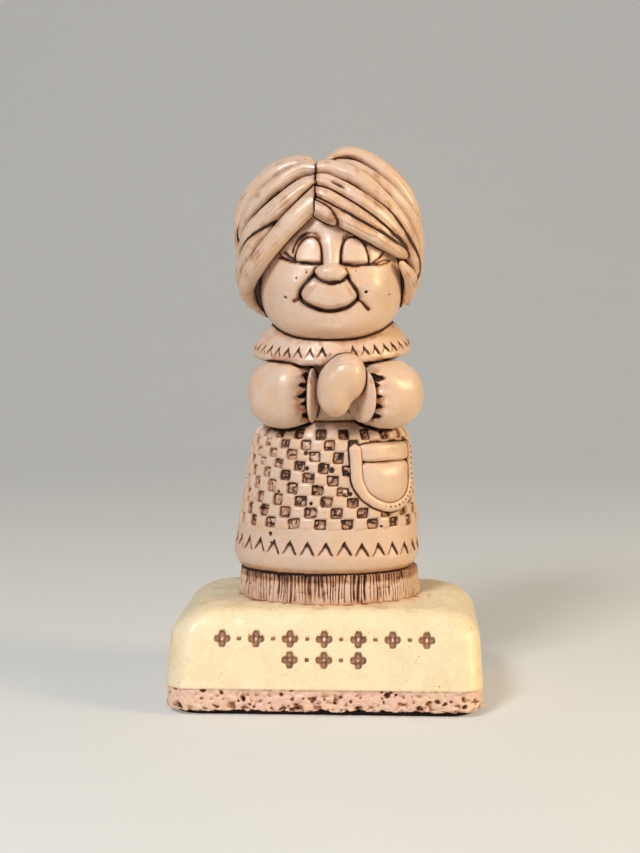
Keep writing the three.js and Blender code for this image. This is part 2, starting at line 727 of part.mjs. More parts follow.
// The cap over the crown and the back of the head. It is fuller at the nape, and its locks are flutes that
// die out at the crown.
function hairForm(grow) {
  const form = ball(1, 1, 1, 1, 2, 2 * BACK_LOCK_COUNT);
  const at = form.getAttribute("position");
  for (let i = 0; i < at.count; i++) {
    const p = new THREE.Vector3().fromBufferAttribute(at, i);
    const crown = Math.hypot(p.x, p.y);
    const valley = 1 - Math.abs(Math.cos((Math.atan2(p.y, p.x) * BACK_LOCK_COUNT) / 2));
    const backward = (1 + p.y / Math.max(crown, 1e-6)) / 2;
    const fullness = lerp(2, NAPE_FULLNESS, backward * Math.max(0, -p.z));
    fuller(p, fullness).multiply(hairHalves.clone().addScalar(grow - BACK_LOCK_DEPTH * valley * crown));
    at.setXYZ(i, p.x, p.y, p.z);
  }
  return solidOf(form.translate(...hairCentre));
}

// Everything in front of the hairline, a slanting plane from the forehead down to the ears.
function beforeHairline(grow) {
  const size = 3 * HAIR_HEIGHT;
  const block = new THREE.BoxGeometry(size, size, size).translate(0, grow - size / 2, 0);
  block.rotateX(radians(HAIRLINE_SLOPE));
  return solidOf(block.translate(hairCentre.x, hairCentre.y - HAIRLINE_FORWARD, hairCentre.z));
}

function hairCap() {
  return seat(hairForm(0), headForm(SEAT_GAP), beforeHairline(0));
}

// A point on the surface that the locks follow, which is fuller below the hair's middle.
function onHair([round, rise]) {
  const [theta, phi] = [radians(round), radians(rise)];
  const way = new THREE.Vector3(
    Math.cos(phi) * Math.sin(theta),
    -Math.cos(phi) * Math.cos(theta),
    Math.sin(phi),
  );
  fuller(way, lerp(2, NAPE_FULLNESS, Math.max(0, -way.z)));
  return way.multiply(hairHalves.clone().addScalar(LOCK_LIFT)).add(hairCentre);
}

// A lock: a tube along its route that swells to its full width and height and thins out at both ends.
function lockForm({ route, widthShares, heightShare }, grow) {
  const path = new THREE.CatmullRomCurve3(route.map(onHair));
  const [start, middle, end] = widthShares;
  const swell = (t) => Math.sin(t * Math.PI);
  const halfWidth = (t) => LOCK_WIDTH * lerp(t < 0.5 ? start : end, middle, swell(t)) + grow;
  const halfHeight = (t) => LOCK_HEIGHT * heightShare * lerp(LOCK_THIN, 1, swell(t)) + grow;
  return solidOf(strand(path, hairCentre, halfWidth, halfHeight));
}

// The locks in order: each one is cut to lie on the head, on the cap, over the collar and against the ones
// before it.
function hairLocks() {
  const made = {};
  const cap = seat(hairForm(SEAT_GAP), beforeHairline(-SEAT_GAP));
  const below = [headForm(SEAT_GAP), cap, collarForm(SEAT_GAP)];
  for (const [name, lock] of Object.entries(LOCKS)) {
    made[name] = seat(lockForm(lock, 0), ...below);
    below.push(lockForm(lock, SEAT_GAP));
  }
  return made;
}

// Bodice and collar

// The trunk and neck: an oval that rounds in over the shoulders to the neck.
function bodiceForm(grow) {
  const roundFoot = collarZ + CHIN_RISE / 2 - SHOULDER_ROUND;
  const ring = (share, z) => {
    const halfWidth = lerp(NECK_WIDTH, BODICE_WIDTH, share) / 2 + grow;
    const halfDepth = lerp(NECK_WIDTH, BODICE_DEPTH, share) / 2 + grow;
    return ovalRing(halfWidth, halfDepth, z);
  };
  const rings = [ring(1, dressTop - grow)];
  for (let step = 0; step <= SHOULDER_STEPS; step++) {
    const angle = ((step / SHOULDER_STEPS) * Math.PI) / 2;
    rings.push(ring(Math.cos(angle), roundFoot + SHOULDER_ROUND * Math.sin(angle)));
  }
  rings.push(ring(0, chinZ + NECK_TUCK + grow));
  return solidOf(loft(rings).translate(0, FIGURE_Y, 0));
}

function neckHole(grow) {
  return solidOf(bar(NECK_DOWEL_DIAMETER + 2 * grow, dressTop - NECK_DOWEL_BELOW, chinZ + NECK_DOWEL_ABOVE));
}

function bodice() {
  return seat(bodiceForm(0), headForm(SEAT_GAP), neckHole(SEAT_GAP));
}

// The collar's place: tilted on the neck.
function placeCollar(geometry) {
  return solidOf(geometry.rotateX(radians(COLLAR_TILT)).translate(HEAD_X, FIGURE_Y, collarZ));
}

// The collar's ring: a rim with a sloping top that runs in under the chin.
function collarForm(grow) {
  const rim = COLLAR_WIDTH / 2 + grow;
  const inside = NECK_WIDTH / 2 - OVERCUT;
  const top = COLLAR_RIM + COLLAR_RISE + grow;
  const profile = [
    [inside, -grow],
    [rim - COLLAR_LEAN, -grow],
    [rim, COLLAR_LEAN],
    [rim - COLLAR_LEAN, COLLAR_RIM + grow],
    [COLLAR_CREST / 2 + grow, top],
    [inside, top],
    [inside, -grow],
  ];
  const points = profile.map(([radius, z]) => new THREE.Vector2(radius, z));
  const ring = new THREE.LatheGeometry(points, COLLAR_TOOTH_COUNT).rotateX(Math.PI / 2);
  return placeCollar(ring.scale(1, COLLAR_DEPTH_RATIO, 1));
}

function collar() {
  const rim = COLLAR_WIDTH / 2;
  const width = (TOOTH_SHARE * 2 * Math.PI * rim) / COLLAR_TOOTH_COUNT;
  const marks = Array.from({ length: COLLAR_TOOTH_COUNT }, (_, i) => {
    const angle = (i / COLLAR_TOOTH_COUNT) * 2 * Math.PI;
    const [cos, sin] = [Math.cos(angle), COLLAR_DEPTH_RATIO * Math.sin(angle)];
    const foot = new THREE.Vector3(rim * cos, rim * sin, COLLAR_TOOTH_FOOT);
    const tip = new THREE.Vector3((rim - COLLAR_LEAN) * cos, (rim - COLLAR_LEAN) * sin, COLLAR_RIM);
    const along = new THREE.Vector3(-Math.sin(angle), COLLAR_DEPTH_RATIO * cos, 0).normalize();
    return placeCollar(tooth(foot, tip, along, width, COLLAR_TOOTH_DEPTH));
  });
  const toothed = collarForm(0).subtract(wasm.Manifold.union(marks));
  return seat(toothed, headForm(SEAT_GAP), bodiceForm(SEAT_GAP), hairForm(SEAT_GAP));
}

// Sleeves, cuffs and hands, one side at a time: -1 is the doll's right, 1 its left

// A piece of one sleeve, made lying along X, swung forward and put in place.
function placeSleeve(geometry, side) {
  geometry.rotateZ(radians(side * SLEEVE_TURN));
  return solidOf(geometry.translate(ARM_X + side * SLEEVE_SPREAD, FIGURE_Y - SLEEVE_FORWARD, armZ));
}

function sleeveForm(side, grow) {
  const [length, depth, height] = [SLEEVE_LENGTH, SLEEVE_DEPTH, SLEEVE_HEIGHT].map((s) => s / 2 + grow);
  return placeSleeve(ball(length, depth, height, height, PUFF), side);
}

// Gathers: wedges fanned round the front of the sleeve's wrist end.
function gathers(side) {
  const onSleeve = (fromWrist, fan, share) => {
    const [lat, turn] = [radians(fromWrist), radians(fan)];
    return new THREE.Vector3(
      -side * Math.cos(lat) * SLEEVE_LENGTH,
      -Math.sin(lat) * Math.cos(turn) * SLEEVE_DEPTH,
      Math.sin(lat) * Math.sin(turn) * SLEEVE_HEIGHT,
    ).multiplyScalar(share / 2);
  };
  const sunk = 1 - (2 * GATHER_DEPTH) / SLEEVE_HEIGHT;
  const marks = Array.from({ length: GATHER_COUNT }, (_, i) => {
    const fan = lerp(-GATHER_FAN, GATHER_FAN, i / (GATHER_COUNT - 1));
    const wedge = new ConvexGeometry([
      onSleeve(GATHER_FROM, fan - GATHER_SPREAD, GATHER_PROUD),
      onSleeve(GATHER_FROM, fan + GATHER_SPREAD, GATHER_PROUD),
      onSleeve(GATHER_FROM, fan, sunk),
      onSleeve(GATHER_TO, fan, GATHER_RUNOUT),
    ]);
    return placeSleeve(wedge, side);
  });
  return wasm.Manifold.union(marks);
}

function sleeve(side) {
  const puffed = sleeveForm(side, 0).subtract(gathers(side));
  return seat(puffed, ...trunk());
}

// A cuff: a round-edged disc across the wrist.
function cuffForm(side, grow) {
  const radius = CUFF_DIAMETER / 2 + grow;
  const form = ball(CUFF_THICKNESS / 2 + grow, radius, radius, radius, PUFF);
  const spread = side < 0 ? RIGHT_CUFF_SPREAD : LEFT_CUFF_SPREAD;
  form.rotateZ(radians(side * (side < 0 ? RIGHT_CUFF_TURN : LEFT_CUFF_TURN)));
  return solidOf(form.translate(ARM_X + side * spread, FIGURE_Y - CUFF_FORWARD, armZ));
}

// What the arms lie against, grown by the seat gap.
function trunk() {
  return [bodiceForm, dressForm, collarForm, headForm].map((form) => form(SEAT_GAP));
}

function sleeves() {
  return [-1, 1].map((side) => sleeveForm(side, SEAT_GAP));
}

function cuff(side) {
  return seat(cuffForm(side, 0), ...trunk(), ...sleeves());
}

function palmForm(side, grow) {
  const [width, depth, height] = [HAND_WIDTH, HAND_DEPTH, HAND_HEIGHT].map((s) => s / 2 + grow);
  const form = ball(width, depth, height, height, PUFF);
  return solidOf(form.translate(HAND_X + side * HAND_APART, FIGURE_Y - HAND_FORWARD, handZ));
}

// The left hand's fingers, laid one below the other across the right hand.
function fingers(grow) {
  const radius = FINGER_DIAMETER / 2;
  const bars = Array.from({ length: FINGER_COUNT }, (_, i) => {
    const drop = FINGER_TOP - i * FINGER_PITCH;
    const bow = Math.sqrt(1 - ((2 * drop) / HAND_HEIGHT) ** 2);
    const finger = new THREE.CapsuleGeometry(radius + grow, FINGER_LENGTH, 2, FINGER_SIDES);
    finger.rotateZ(Math.PI / 2).rotateY(radians(-FINGER_SLOPE));
    const y = FIGURE_Y - HAND_FORWARD - (HAND_DEPTH / 2) * bow + radius * FINGER_SINK;
    return solidOf(finger.translate(HAND_X, y, handZ + drop));
  });
  return wasm.Manifold.union(bars);
}

function leftHand(grow) {
  return palmForm(1, grow).add(fingers(grow));
}

function hands() {
  const around = [...trunk(), ...sleeves(), cuffForm(-1, SEAT_GAP), cuffForm(1, SEAT_GAP)];
  return {
    left_hand: seat(leftHand(0), ...around),
    right_hand: seat(palmForm(-1, 0), ...around, leftHand(SEAT_GAP)),
  };
}

// Dowels

function baseDowel() {
  return solidOf(bar(BASE_DOWEL_DIAMETER, plinthTop - BASE_DOWEL_BELOW, plinthTop + BASE_DOWEL_ABOVE));
}

// Assembly

const LOOKS = {
  cream: { color: 0xe6cda3, roughness: 0.42, metalness: 0 },
  hair: { color: 0xdcba8b, roughness: 0.45, metalness: 0 },
  stained: { color: 0xc29a72, roughness: 0.6, metalness: 0 },
  stone: { color: 0xe9d2a8, roughness: 0.5, metalness: 0 },
  felt: { color: 0x4a3b2c, roughness: 0.95, metalness: 0 },
  dowel: { color: 0xc8a06a, roughness: 0.7, metalness: 0 },
};

const doll = new THREE.Group();

function place(name, solid, look) {
  const mesh = new THREE.Mesh(geometryOf(solid), new THREE.MeshStandardMaterial(LOOKS[look]));
  mesh.name = name;
  doll.add(mesh);
}

place("felt_pad", feltPad(), "felt");
place("plinth", plinth(), "stone");
place("base_dowel", baseDowel(), "dowel");
place("petticoat", petticoat(), "stained");
place("dress", dress(), "cream");
for (const [name, solid] of Object.entries(pocketPieces())) place(name, solid, "cream");
place("bodice", bodice(), "cream");
place("neck_dowel", neckHole(0), "dowel");
place("collar", collar(), "cream");
for (const [side, name] of [[-1, "right"], [1, "left"]]) {
  place(name + "_sleeve", sleeve(side), "cream");
  place(name + "_cuff", cuff(side), "cream");
}
for (const [name, solid] of Object.entries(hands())) place(name, solid, "cream");
place("head", head(), "cream");
place("hair_cap", hairCap(), "hair");
for (const [name, solid] of Object.entries(hairLocks())) place(name, solid, "hair");

export default doll;
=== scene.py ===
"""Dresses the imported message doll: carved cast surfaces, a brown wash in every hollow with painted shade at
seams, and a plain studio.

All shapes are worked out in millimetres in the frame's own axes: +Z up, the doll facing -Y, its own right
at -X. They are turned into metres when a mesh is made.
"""

import bpy
import numpy as np
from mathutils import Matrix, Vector


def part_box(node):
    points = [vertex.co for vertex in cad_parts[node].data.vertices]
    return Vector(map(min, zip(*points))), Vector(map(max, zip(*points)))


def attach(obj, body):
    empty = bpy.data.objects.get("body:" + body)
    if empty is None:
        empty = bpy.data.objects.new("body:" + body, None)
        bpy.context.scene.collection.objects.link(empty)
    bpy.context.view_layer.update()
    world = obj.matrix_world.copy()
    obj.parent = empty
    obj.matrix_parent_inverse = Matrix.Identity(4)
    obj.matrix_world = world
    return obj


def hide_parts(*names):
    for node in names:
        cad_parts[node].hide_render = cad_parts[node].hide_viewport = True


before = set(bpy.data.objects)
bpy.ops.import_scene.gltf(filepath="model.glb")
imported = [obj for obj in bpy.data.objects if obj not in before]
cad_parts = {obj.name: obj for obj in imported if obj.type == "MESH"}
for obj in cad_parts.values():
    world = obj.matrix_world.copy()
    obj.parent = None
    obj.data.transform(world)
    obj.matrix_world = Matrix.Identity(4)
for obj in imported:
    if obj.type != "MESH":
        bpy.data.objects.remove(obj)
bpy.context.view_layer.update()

bl_info = {
    "name": "Message doll",
    "version": (1, 0, 0),
    "blender": (4, 5, 0),
    "location": "View3D > Sidebar > Doll",
    "description": "Builds the carved and washed surfaces of a cast message doll",
    "category": "Object",
}

MM = 0.001
BODY = "root"
SIDES = {"right": -1, "left": 1}


class Place:
    """The box of a CAD node at rest, in millimetres."""

    def __init__(self, node):
        low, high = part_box(node)
        self.low = np.array(low) / MM
        self.high = np.array(high) / MM
        self.middle = (self.low + self.high) / 2
        self.half = (self.high - self.low) / 2


PLINTH = Place("plinth")
PETTICOAT = Place("petticoat")
DRESS = Place("dress")
BODICE = Place("bodice")

# Levels and middle lines that several pieces share
FIGURE_Y = PETTICOAT.middle[1]
HEM_X = -0.8
YOKE_X = 0.8
HEM_Z = DRESS.low[2]
DRESS_TOP = DRESS.high[2]

# Plinth; a row of flowers is its height and how many flowers it holds
PLINTH_BAND = 5.7
BAND_TOP = PLINTH.low[2] + PLINTH_BAND
FRONT_LEAN = 7.0
BACK_LEAN = 2.7
SIDE_LEAN = 1.0
PLINTH_CORNER = 6.0
SHOULDER = 7.5
SHOULDER_FRONT = 3.5
SHOULDER_SIDE = 10.0
FOOT_ROUND = 0.8
EDGE_FULLNESS = 3.2
FLOWER_ROWS = [(18.4, 7), (13.6, 3)]
FLOWER_PITCH = 8.4
PETAL_REACH = 1.15
PETAL_RADIUS = 0.98
DOT_RADIUS = 0.6

# Petticoat
PETTICOAT_FLARE = 0.6
PETTICOAT_SINK = 0.3
PETTICOAT_TUCK = 1.6
PLEATS = 150

# Dress; a pinhole is its place across, its height and its radius
HEM_HALF = 25.1
YOKE_HALF = 19.4
DRESS_DEPTH_RATIO = 0.79
HEM_ROLL = 7.6
YOKE_ROUND = 6.0
CHECK_COLUMNS = 42
CHECK_ROWS = 9
CHECK_FOOT = 13.2
CHECK_HEAD = 1.6
CHECK_TURN = -3.0
CHECK_TWIST = 1.75
CHECK_TILT = 0.13
CHECK_TILT_ROW = 4.8
CHECK_TILT_SPREAD = 2.0
CHECK_SWAY = 12.0
CHECK_SWAY_X = -2.5
PILLOW_LIFT = 0.34
PIT_FULLNESS = 8
PINHOLE_DEPTH = 0.7
DRESS_PINHOLES = [
    (-5.1, 63.2, 0.56), (-4.8, 59.4, 0.56), (1.4, 59.0, 0.75), (-3.7, 50.7, 0.44),
    (6.1, 53.0, 0.50), (-14.2, 42.7, 0.50), (-13.9, 40.5, 0.31), (-15.0, 59.1, 0.31),
    (-12.0, 53.4, 0.37), (-16.7, 48.8, 0.44), (13.8, 44.7, 0.31), (-18.7, 61.3, 0.34),
]
HEM_NOTCHES = 32
HEM_GIRTH_SHARE = 0.9
HEM_NOTCH_TURN = 1.1
HEM_NOTCH_FOOT = 6.6
HEM_NOTCH_SLANT = 0.03
HEM_NOTCH_HEIGHT = 3.8
NOTCH_SHARE = 0.92

# Pocket
POCKET_ANGLE = 52.0
POCKET_HALF = 9.0
POCKET_HEIGHT = 17.2
POCKET_DROP = 5.5
POCKET_TRIM = 2.2
POCKET_BAND = 4.6
POUCH_LIFT = 1.9
BAND_LIFT = 1.7
STITCHES = 30
POCKET_TOP = DRESS_TOP - POCKET_DROP
POCKET_FOOT = POCKET_TOP - POCKET_HEIGHT

# Arms; a side is -1 for the doll's own right and 1 for its left
ARM_X = 2.2
ARM_Z = DRESS_TOP + 6.7
SLEEVE_SPREAD = 13.5
SLEEVE_FORWARD = 10.4
SLEEVE_HALVES = np.array([8.5, 8.3, 8.7])
SLEEVE_TURN = 34.0
GATHER_PITCH = 2.5
GATHER_REACH = 2.0
GATHER_SPREAD = 2.4
BUBBLE_SHIFT = 50
WRIST_FULLNESS = 3.2
PUFF = 2.2
CUFF_FORWARD = 16.4
CUFF_HALVES = np.array([1.1, 6.75, 6.75])
CUFF_SPREAD = {-1: 5.6, 1: 6.6}
CUFF_TURN = {-1: 5.0, 1: 32.0}
HAND_FORWARD = 19.4
HAND_MIDDLES = {-1: np.array([2.3, 0.0, 1.6]), 1: np.array([5.2, 0.0, 4.9])}
HAND_HALVES = {-1: np.array([4.4, 5.4, 6.7]), 1: np.array([4.8, 5.5, 5.8])}
HAND_BLEND = 1.6
HAND_SCALE = 5.2
HAND_STEPS = 30
FINGER_FOOT = 7.0
FINGER_PITCH = 1.2

# Bodice
TRUNK_HEIGHT = 8.3
SHOULDER_RISE = 9.0

# Collar
COLLAR_X = 0.8
COLLAR_Z = DRESS_TOP + 16.3
COLLAR_NOTCHES = 40
COLLAR_NOTCH_FOOT = 1.9
COLLAR_NOTCH_HEIGHT = 2.7
COLLAR_ROLL = 0.03
COLLAR_FRONT = 8.0
COLLAR_STARTS = (-4.3, 0.5)
COLLAR_TILT = 7.0
COLLAR_DEPTH_RATIO = 0.86
COLLAR_HALF = 20.4
COLLAR_RIM = 4.0
COLLAR_LEAN = 0.9
COLLAR_RISE = 4.8
COLLAR_CREST = 14.5
NECK_HALF = 8.5

# Head and face, the face measured beside its middle and above the cheeks
HEAD_MIDDLE = np.array([0.8, FIGURE_Y, 104.2])
HEAD_HALVES = np.array([18.2, 19.25, 31.0])
CHIN_DROP = 13.8
CHIN_FORWARD = 6.5
HEAD_FULLNESS = 2.3
FACE_X = 1.4
FACE_GATHER = 0.62
CHEEK_X = 10.0
CHEEK_Z = 0.4
CHEEK_LIFT = 1.5
CHEEK_SPREAD = (4.6, 4.2)
CHIN_Z = -9.0
CHIN_LIFT = 0.9
CHIN_SPREAD = (5.0, 2.8)
NOSE_Z = 3.7
NOSE_HALVES = (4.3, 2.6)
NOSE_FULLNESS = 2.3
RIDGE_LIFT = 1.9
RIDGE_SPREAD = 2.2
LIP_X = -0.4
LIP_Z = -1.0
LIP_LIFT = 1.9
LIP_HALVES = (7.0, 4.4)
LIP_FULLNESS = 2.4
SOCKET_X = 5.4
SOCKET_Z = 10.0
SOCKET_DEPTH = 0.7
SOCKET_SPREAD = (5.2, 4.6)
LID_APEX = 5.2
LID_INNER = 2.9
LID_OUTER = 3.9
LID_INNER_FULLNESS = 2.6
LID_OUTER_FULLNESS = 2.1
LID_FOOT = 6.4
LID_HEIGHT = 6.4
PINHOLES = [(-10.9, -2.1, 0.32), (8.1, -0.8, 0.34), (-8.3, 2.6, 0.18), (-6.1, 4.1, 0.2), (13.7, -1.4, 0.2)]

# Hair; the dictionaries name the locks that differ from the rest
HAIR_MIDDLE = np.array([0.0, FIGURE_Y + 1.0, 115.9])
HAIR_HALVES = np.array([22.3, 20.5, 22.5])
NAPE_FULLNESS = 4.0
HAIRLINE_Y = 13.0
HAIRLINE_LEAN = 0.53
HAIRLINE_TUCK = 0.22
BACK_LOCKS = 12
BACK_LOCK_DEPTH = 1.1
BACK_SWIRL = 0.25
BACK_STRANDS = 31
PARTING_X = -2.7
PARTING_GAP = 0.12
PARTING_OVERRUN = 2.4
PARTING_SHIFT = 1.2
PARTING_DEPTH = 3.0
PARTING_HALVES = (4.5, 2.0)
LOCK_LIFT = 0.4
LOCK_ROUND = 0.1
LOCK_STRANDS = (-0.62, -0.3, 0.02, 0.34, 0.66)
LOCK_TUCK = {"right_lock_1": 2.0, "left_lock_7": 1.0, "left_lock_8": 1.6}
LOCK_RISE = {"left_lock_7": 1.4}
LOCK_SINK = {"right_lock_5": 1.4}
LOCK_SEAM = {"left_lock_1": 0.35, "left_lock_2": 0.45}
LOCK_SEAM_REACH = 0.6
GOUGED_LOCK = "left_lock_4"
GOUGE_DEPTH = 0.7

# The locks that frame the face, as they lie in the frame: a route's points are degrees round the hair from
# the front and degrees above its middle; then half widths at start, middle and end; then half the height;
# then whether the parting cuts the lock's start.
LOCKS = {
    "right_lock_1": (
        [(-8, 26), (-24, 10), (-44, -10), (-66, -26), (-78, -38), (-81, -52)],
        (2.9, 2.4, 0.5),
        2.4,
        True,
    ),
    "right_lock_2": ([(-34, 15), (-53, -3), (-78, -21), (-87, -35)], (0.5, 2.5, 1.2), 2.1, False),
    "right_lock_3": ([(-8, 39), (-20, 33.5), (-38, 18.5), (-60, 3), (-87, -15)], (2.0, 2.8, 1.2), 2.2, True),
    "right_lock_4": ([(-11, 50), (-28, 49), (-49, 33), (-67, 16), (-86, 0)], (1.2, 2.2, 1.2), 2.1, True),
    "right_lock_5": ([(-16, 46), (-40, 63), (-72, 48), (-88, 18), (-94, -24)], (0.8, 4.6, 2.0), 2.9, False),
    "left_lock_1": ([(-6, 20), (0, 16.5), (8.5, 10)], (1.7, 1.8, 0.6), 2.6, True),
    "left_lock_2": ([(-7, 23), (5, 16), (26, 6), (48, -5), (59, -9)], (1.5, 2.1, 1.2), 2.0, True),
    "left_lock_3": ([(-8, 31), (3, 27), (25, 13), (46, 1), (61, -6)], (1.6, 2.0, 1.3), 2.1, True),
    "left_lock_4": (
        [(-9, 40), (3, 38), (26, 24), (44, 10), (66, -10), (76, -25)],
        (1.8, 2.4, 0.9),
        2.2,
        True,
    ),
    "left_lock_5": (
        [(-12, 51), (8, 51), (33, 37), (55, 10), (74, -13), (83, -36)],
        (2.1, 2.3, 1.0),
        2.4,
        True,
    ),
    "left_lock_6": (
        [(12, 64), (36, 53), (55, 31), (76, 9), (88, -18), (91, -38)],
        (1.8, 2.2, 1.0),
        2.2,
        False,
    ),
    "left_lock_7": (
        [(-2, 65), (42, 69), (73, 50), (86, 24), (94, -12), (97, -30)],
        (1.2, 4.4, 2.0),
        2.6,
        False,
    ),
    "left_lock_8": ([(50, -12), (63, -21), (72, -30), (75, -41)], (0.9, 1.8, 0.8), 1.65, False),
}

# Rows and columns of the grids
PETTICOAT_GRID = (30, 1800)
CHECK_GRID = 13
HEM_ROWS = 40
SKIRT_ROWS = 104
YOKE_ROWS = 28
HEAD_GRID = (208, 24, 372)
HAIR_GRID = (150, 620)
LOCK_GRID = (180, 56)
COLLAR_GRID = (130, 720)
SLEEVE_GRID = (170, 240)
CUFF_GRID = (90, 180)
HAND_GRID = (170, 240)
SPLINE_STEPS = 24

# The casting's unevenness on each piece: layers of noise, each a height, a lump size and a seed
WAVES = {
    "plinth": ((0.16, 9, 3), (0.05, 2.2, 4)),
    "dress": ((0.16, 6, 58), (0.04, 1.6, 59)),
    "head": ((0.1, 7, 81), (0.03, 1.5, 82)),
    "lock": ((0.1, 3, 96), (0.03, 0.9, 97)),
    "bodice": ((0.14, 2.2, 101), (0.06, 0.8, 102)),
    "collar": ((0.2, 5, 112), (0.1, 1.4, 113)),
    "sleeve": ((0.24, 6, 122), (0.04, 1.3, 123)),
    "cuff": ((0.14, 3.5, 131), (0.05, 1.1, 132)),
}

# Open air bubbles: pitch of their cells, share of the cells that hold one, largest radius and seed
BUBBLES = {
    "band": (1.2, 0.8, 0.6, 21),
    "plinth": (2.4, 0.24, 0.3, 31),
    "dress": (5.2, 0.33, 0.55, 61),
    "head": (6.5, 0.3, 0.42, 83),
    "collar": (3.4, 0.3, 0.4, 114),
    "sleeve": (7.0, 0.25, 0.4, 124),
}

# Finishes: sizes of their noises, and where the wash and painted shade turn from one colour to the next
BLOTCH_SIZE = 6.0
PATCH_SIZE = 1.3
GRAIN_SIZE = 0.28
FLECK_SIZE = 0.42
PORE_PITCH = 2.6
PORE_RADIUS = 0.085
PORE_CORE = 0.05
WASH_AND_SHADE_STEPS = {"tan": (0.06, 0.34), "brown": (0.28, 0.58), "dark": (0.55, 0.88)}

# Camera and image
IMAGE_WIDTH = 640
IMAGE_HEIGHT = 853
FOCAL_PIXELS = 1625.0
CAMERA_DISTANCE = 420.0
CAMERA_HEIGHT = 105.0
CAMERA_AZIMUTH = 2.5
CAMERA_PITCH = 4.96
CAMERA_NEAR = 0.01
AXIS_PIXEL = 329.0
SENSOR = 24.0

# Studio; a lamp is its place, its size, its watts and its tint
SHEET_REACH = 3000.0
SHEET_BACK = 500.0
SHEET_BEND = 600.0
FLOOR_GLOW = 0.3
LAMP_AIM = (0, 0, 75)
LAMPS = {
    "key_lamp": ((-230, -470, 500), 170, 3.5, (0.94, 0.97, 1.0)),
    "warm_lamp": ((540, -170, 290), 200, 2.5, (1.0, 0.77, 0.4)),
}
WORLD_TINT = (0.92, 0.96, 1.0)
WORLD_STRENGTH = 0.2


def srgb(red, green, blue):
    """A display colour of 0 to 255 per channel as linear light, by the usual power curve."""
    share = np.array([red, green, blue]) / 255
    linear = np.where(share > 0.04045, ((share + 0.055) / 1.055) ** 2.4, share / 12.92)
    return tuple(float(c) for c in linear)


# Settings


def length(label, text, default):
    """A length setting in metres, given in millimetres."""
    return bpy.props.FloatProperty(
        name=label,
        description=text,
        default=default * MM,
        unit="LENGTH",
        precision=5,
    )


def colour(label, text, red, green, blue):
    """A colour setting, given as a display colour."""
    return bpy.props.FloatVectorProperty(
        name=label,
        description=text,
        default=srgb(red, green, blue),
        subtype="COLOR",
        size=3,
        min=0,
        max=1,
    )


class DollSizes(bpy.types.PropertyGroup):
    """Sizes of the carving."""

    check_depth: length("Check depth", "Depth of the square pits in the dress", 0.9)
    notch_depth: length("Notch depth", "Depth of the chisel notches at hem and collar", 0.8)
    pleat_depth: length("Pleat depth", "Depth of the petticoat's pleats", 0.9)
    gather_depth: length("Gather depth", "Depth of the gathers at the wrists", 1.0)
    groove_depth: length("Groove depth", "Depth of the lines in the face", 0.9)
    lid_lift: length("Lid lift", "Height of the closed lids above the face", 0.9)
    nose_lift: length("Nose lift", "Height of the nose above the face", 3.3)
    strand_depth: length("Strand depth", "Depth of the strand lines in the hair", 0.22)
    bubble: length("Bubble radius", "Largest radius of the air bubbles in the plinth's band", 0.85)
    ornament_depth: length("Ornament depth", "Depth of the carved flowers on the plinth", 0.55)
    # Scales the reach of the wash and painted shade along seams
    seam_spread: bpy.props.FloatProperty(
        name="Seam spread",
        description="Scale of the wash along seams",
        default=1,
    )


class DollColours(bpy.types.PropertyGroup):
    """Colours of the casting and its wash."""

    cream: colour("Cream", "Bare casting", 218, 188, 167)
    warm: colour("Warm cream", "Casting with a film of stain", 216, 174, 136)
    # Tan, brown and dark colour the wash and also the painted shade at seams, under the hem and on the upper
    # lip
    tan: colour("Tan", "Thin wash", 186, 134, 98)
    brown: colour("Brown", "Wash", 98, 58, 40)
    dark: colour("Dark", "Wash that stands in a groove", 30, 16, 14)
    stone: colour("Stone", "Bare casting of the plinth", 240, 220, 182)
    band: colour("Band", "Rough band round the plinth's foot", 236, 192, 174)
    felt: colour("Felt", "Pad under the plinth", 30, 24, 22)
    dowel: colour("Dowel", "Wood of the inner pins", 190, 150, 104)
    floor: colour("Floor", "Studio floor and backdrop", 226, 224, 220)


# Numbers and noise


def smooth(low, high, value):
    """A soft step: 0 below low, 1 above high, and 3t2 - 2t3 between them."""
    t = np.clip((value - low) / (high - low), 0, 1)
    return t * t * (3 - 2 * t)


def blend_up(a, b, softness):
    """The greater of two heights, with a rounded corner of the given softness where they cross."""
    return (a + b + np.sqrt((a - b) ** 2 + softness**2)) / 2


def bell(value, spread):
    """A bell curve: e to the power -(value / spread)^2."""
    return np.exp(-((value / spread) ** 2))


def mound(x, z, spread):
    """A round hill: a bell curve across and one up, each with its own spread."""
    return np.exp(-((x / spread[0]) ** 2) - (z / spread[1]) ** 2)


def pillow(x, z, halves, fullness):
    """A round-edged pillow: the root of 1 - |x / half|^f - |z / half|^f, and 0 outside it."""
    rest = 1 - (np.abs(x) / halves[0]) ** fullness - (np.abs(z) / halves[1]) ** fullness
    return np.maximum(0, rest) ** 0.5


def lattice(cells, seed):
    """A fixed number from 0 to 1 for each whole-number cell, by mixing the bits of its three indices."""
    n = cells.astype(np.int64)
    mixed = (n[..., 0] * 73856093) ^ (n[..., 1] * 19349663) ^ (n[..., 2] * 83492791) ^ (seed * 40503)
    mixed = ((mixed ^ (mixed >> 13)) * 1274126177) & 0xFFFFFFFF
    mixed = ((mixed ^ (mixed >> 15)) * 2246822519) & 0xFFFFFFFF
    return ((mixed ^ (mixed >> 16)) & 0xFFFFFF) / 0xFFFFFF


def mottle(points, size, seed):
    """Smooth noise from -1 to 1 with lumps of a given size: lattice values blended by 3t2 - 2t3."""
    scaled = points / size
    base = np.floor(scaled)
    part = scaled - base
    part = part * part * (3 - 2 * part)
    total = 0
    for corner in np.ndindex(2, 2, 2):
        step = np.array(corner)
        weight = np.prod(np.where(step, part, 1 - part), axis=-1)
        total = total + weight * lattice(base + step, seed)
    return 2 * total - 1


def ripple(points, *layers):
    """A sum of mottles, each given by its height, its size and its seed."""
    return sum(height * mottle(points, size, seed) for height, size, seed in layers)


def draw(count, seed):
    """A fixed number from 0 to 1 for each whole count."""
    return lattice(np.stack([count, np.zeros_like(count), np.zeros_like(count)], -1), seed)


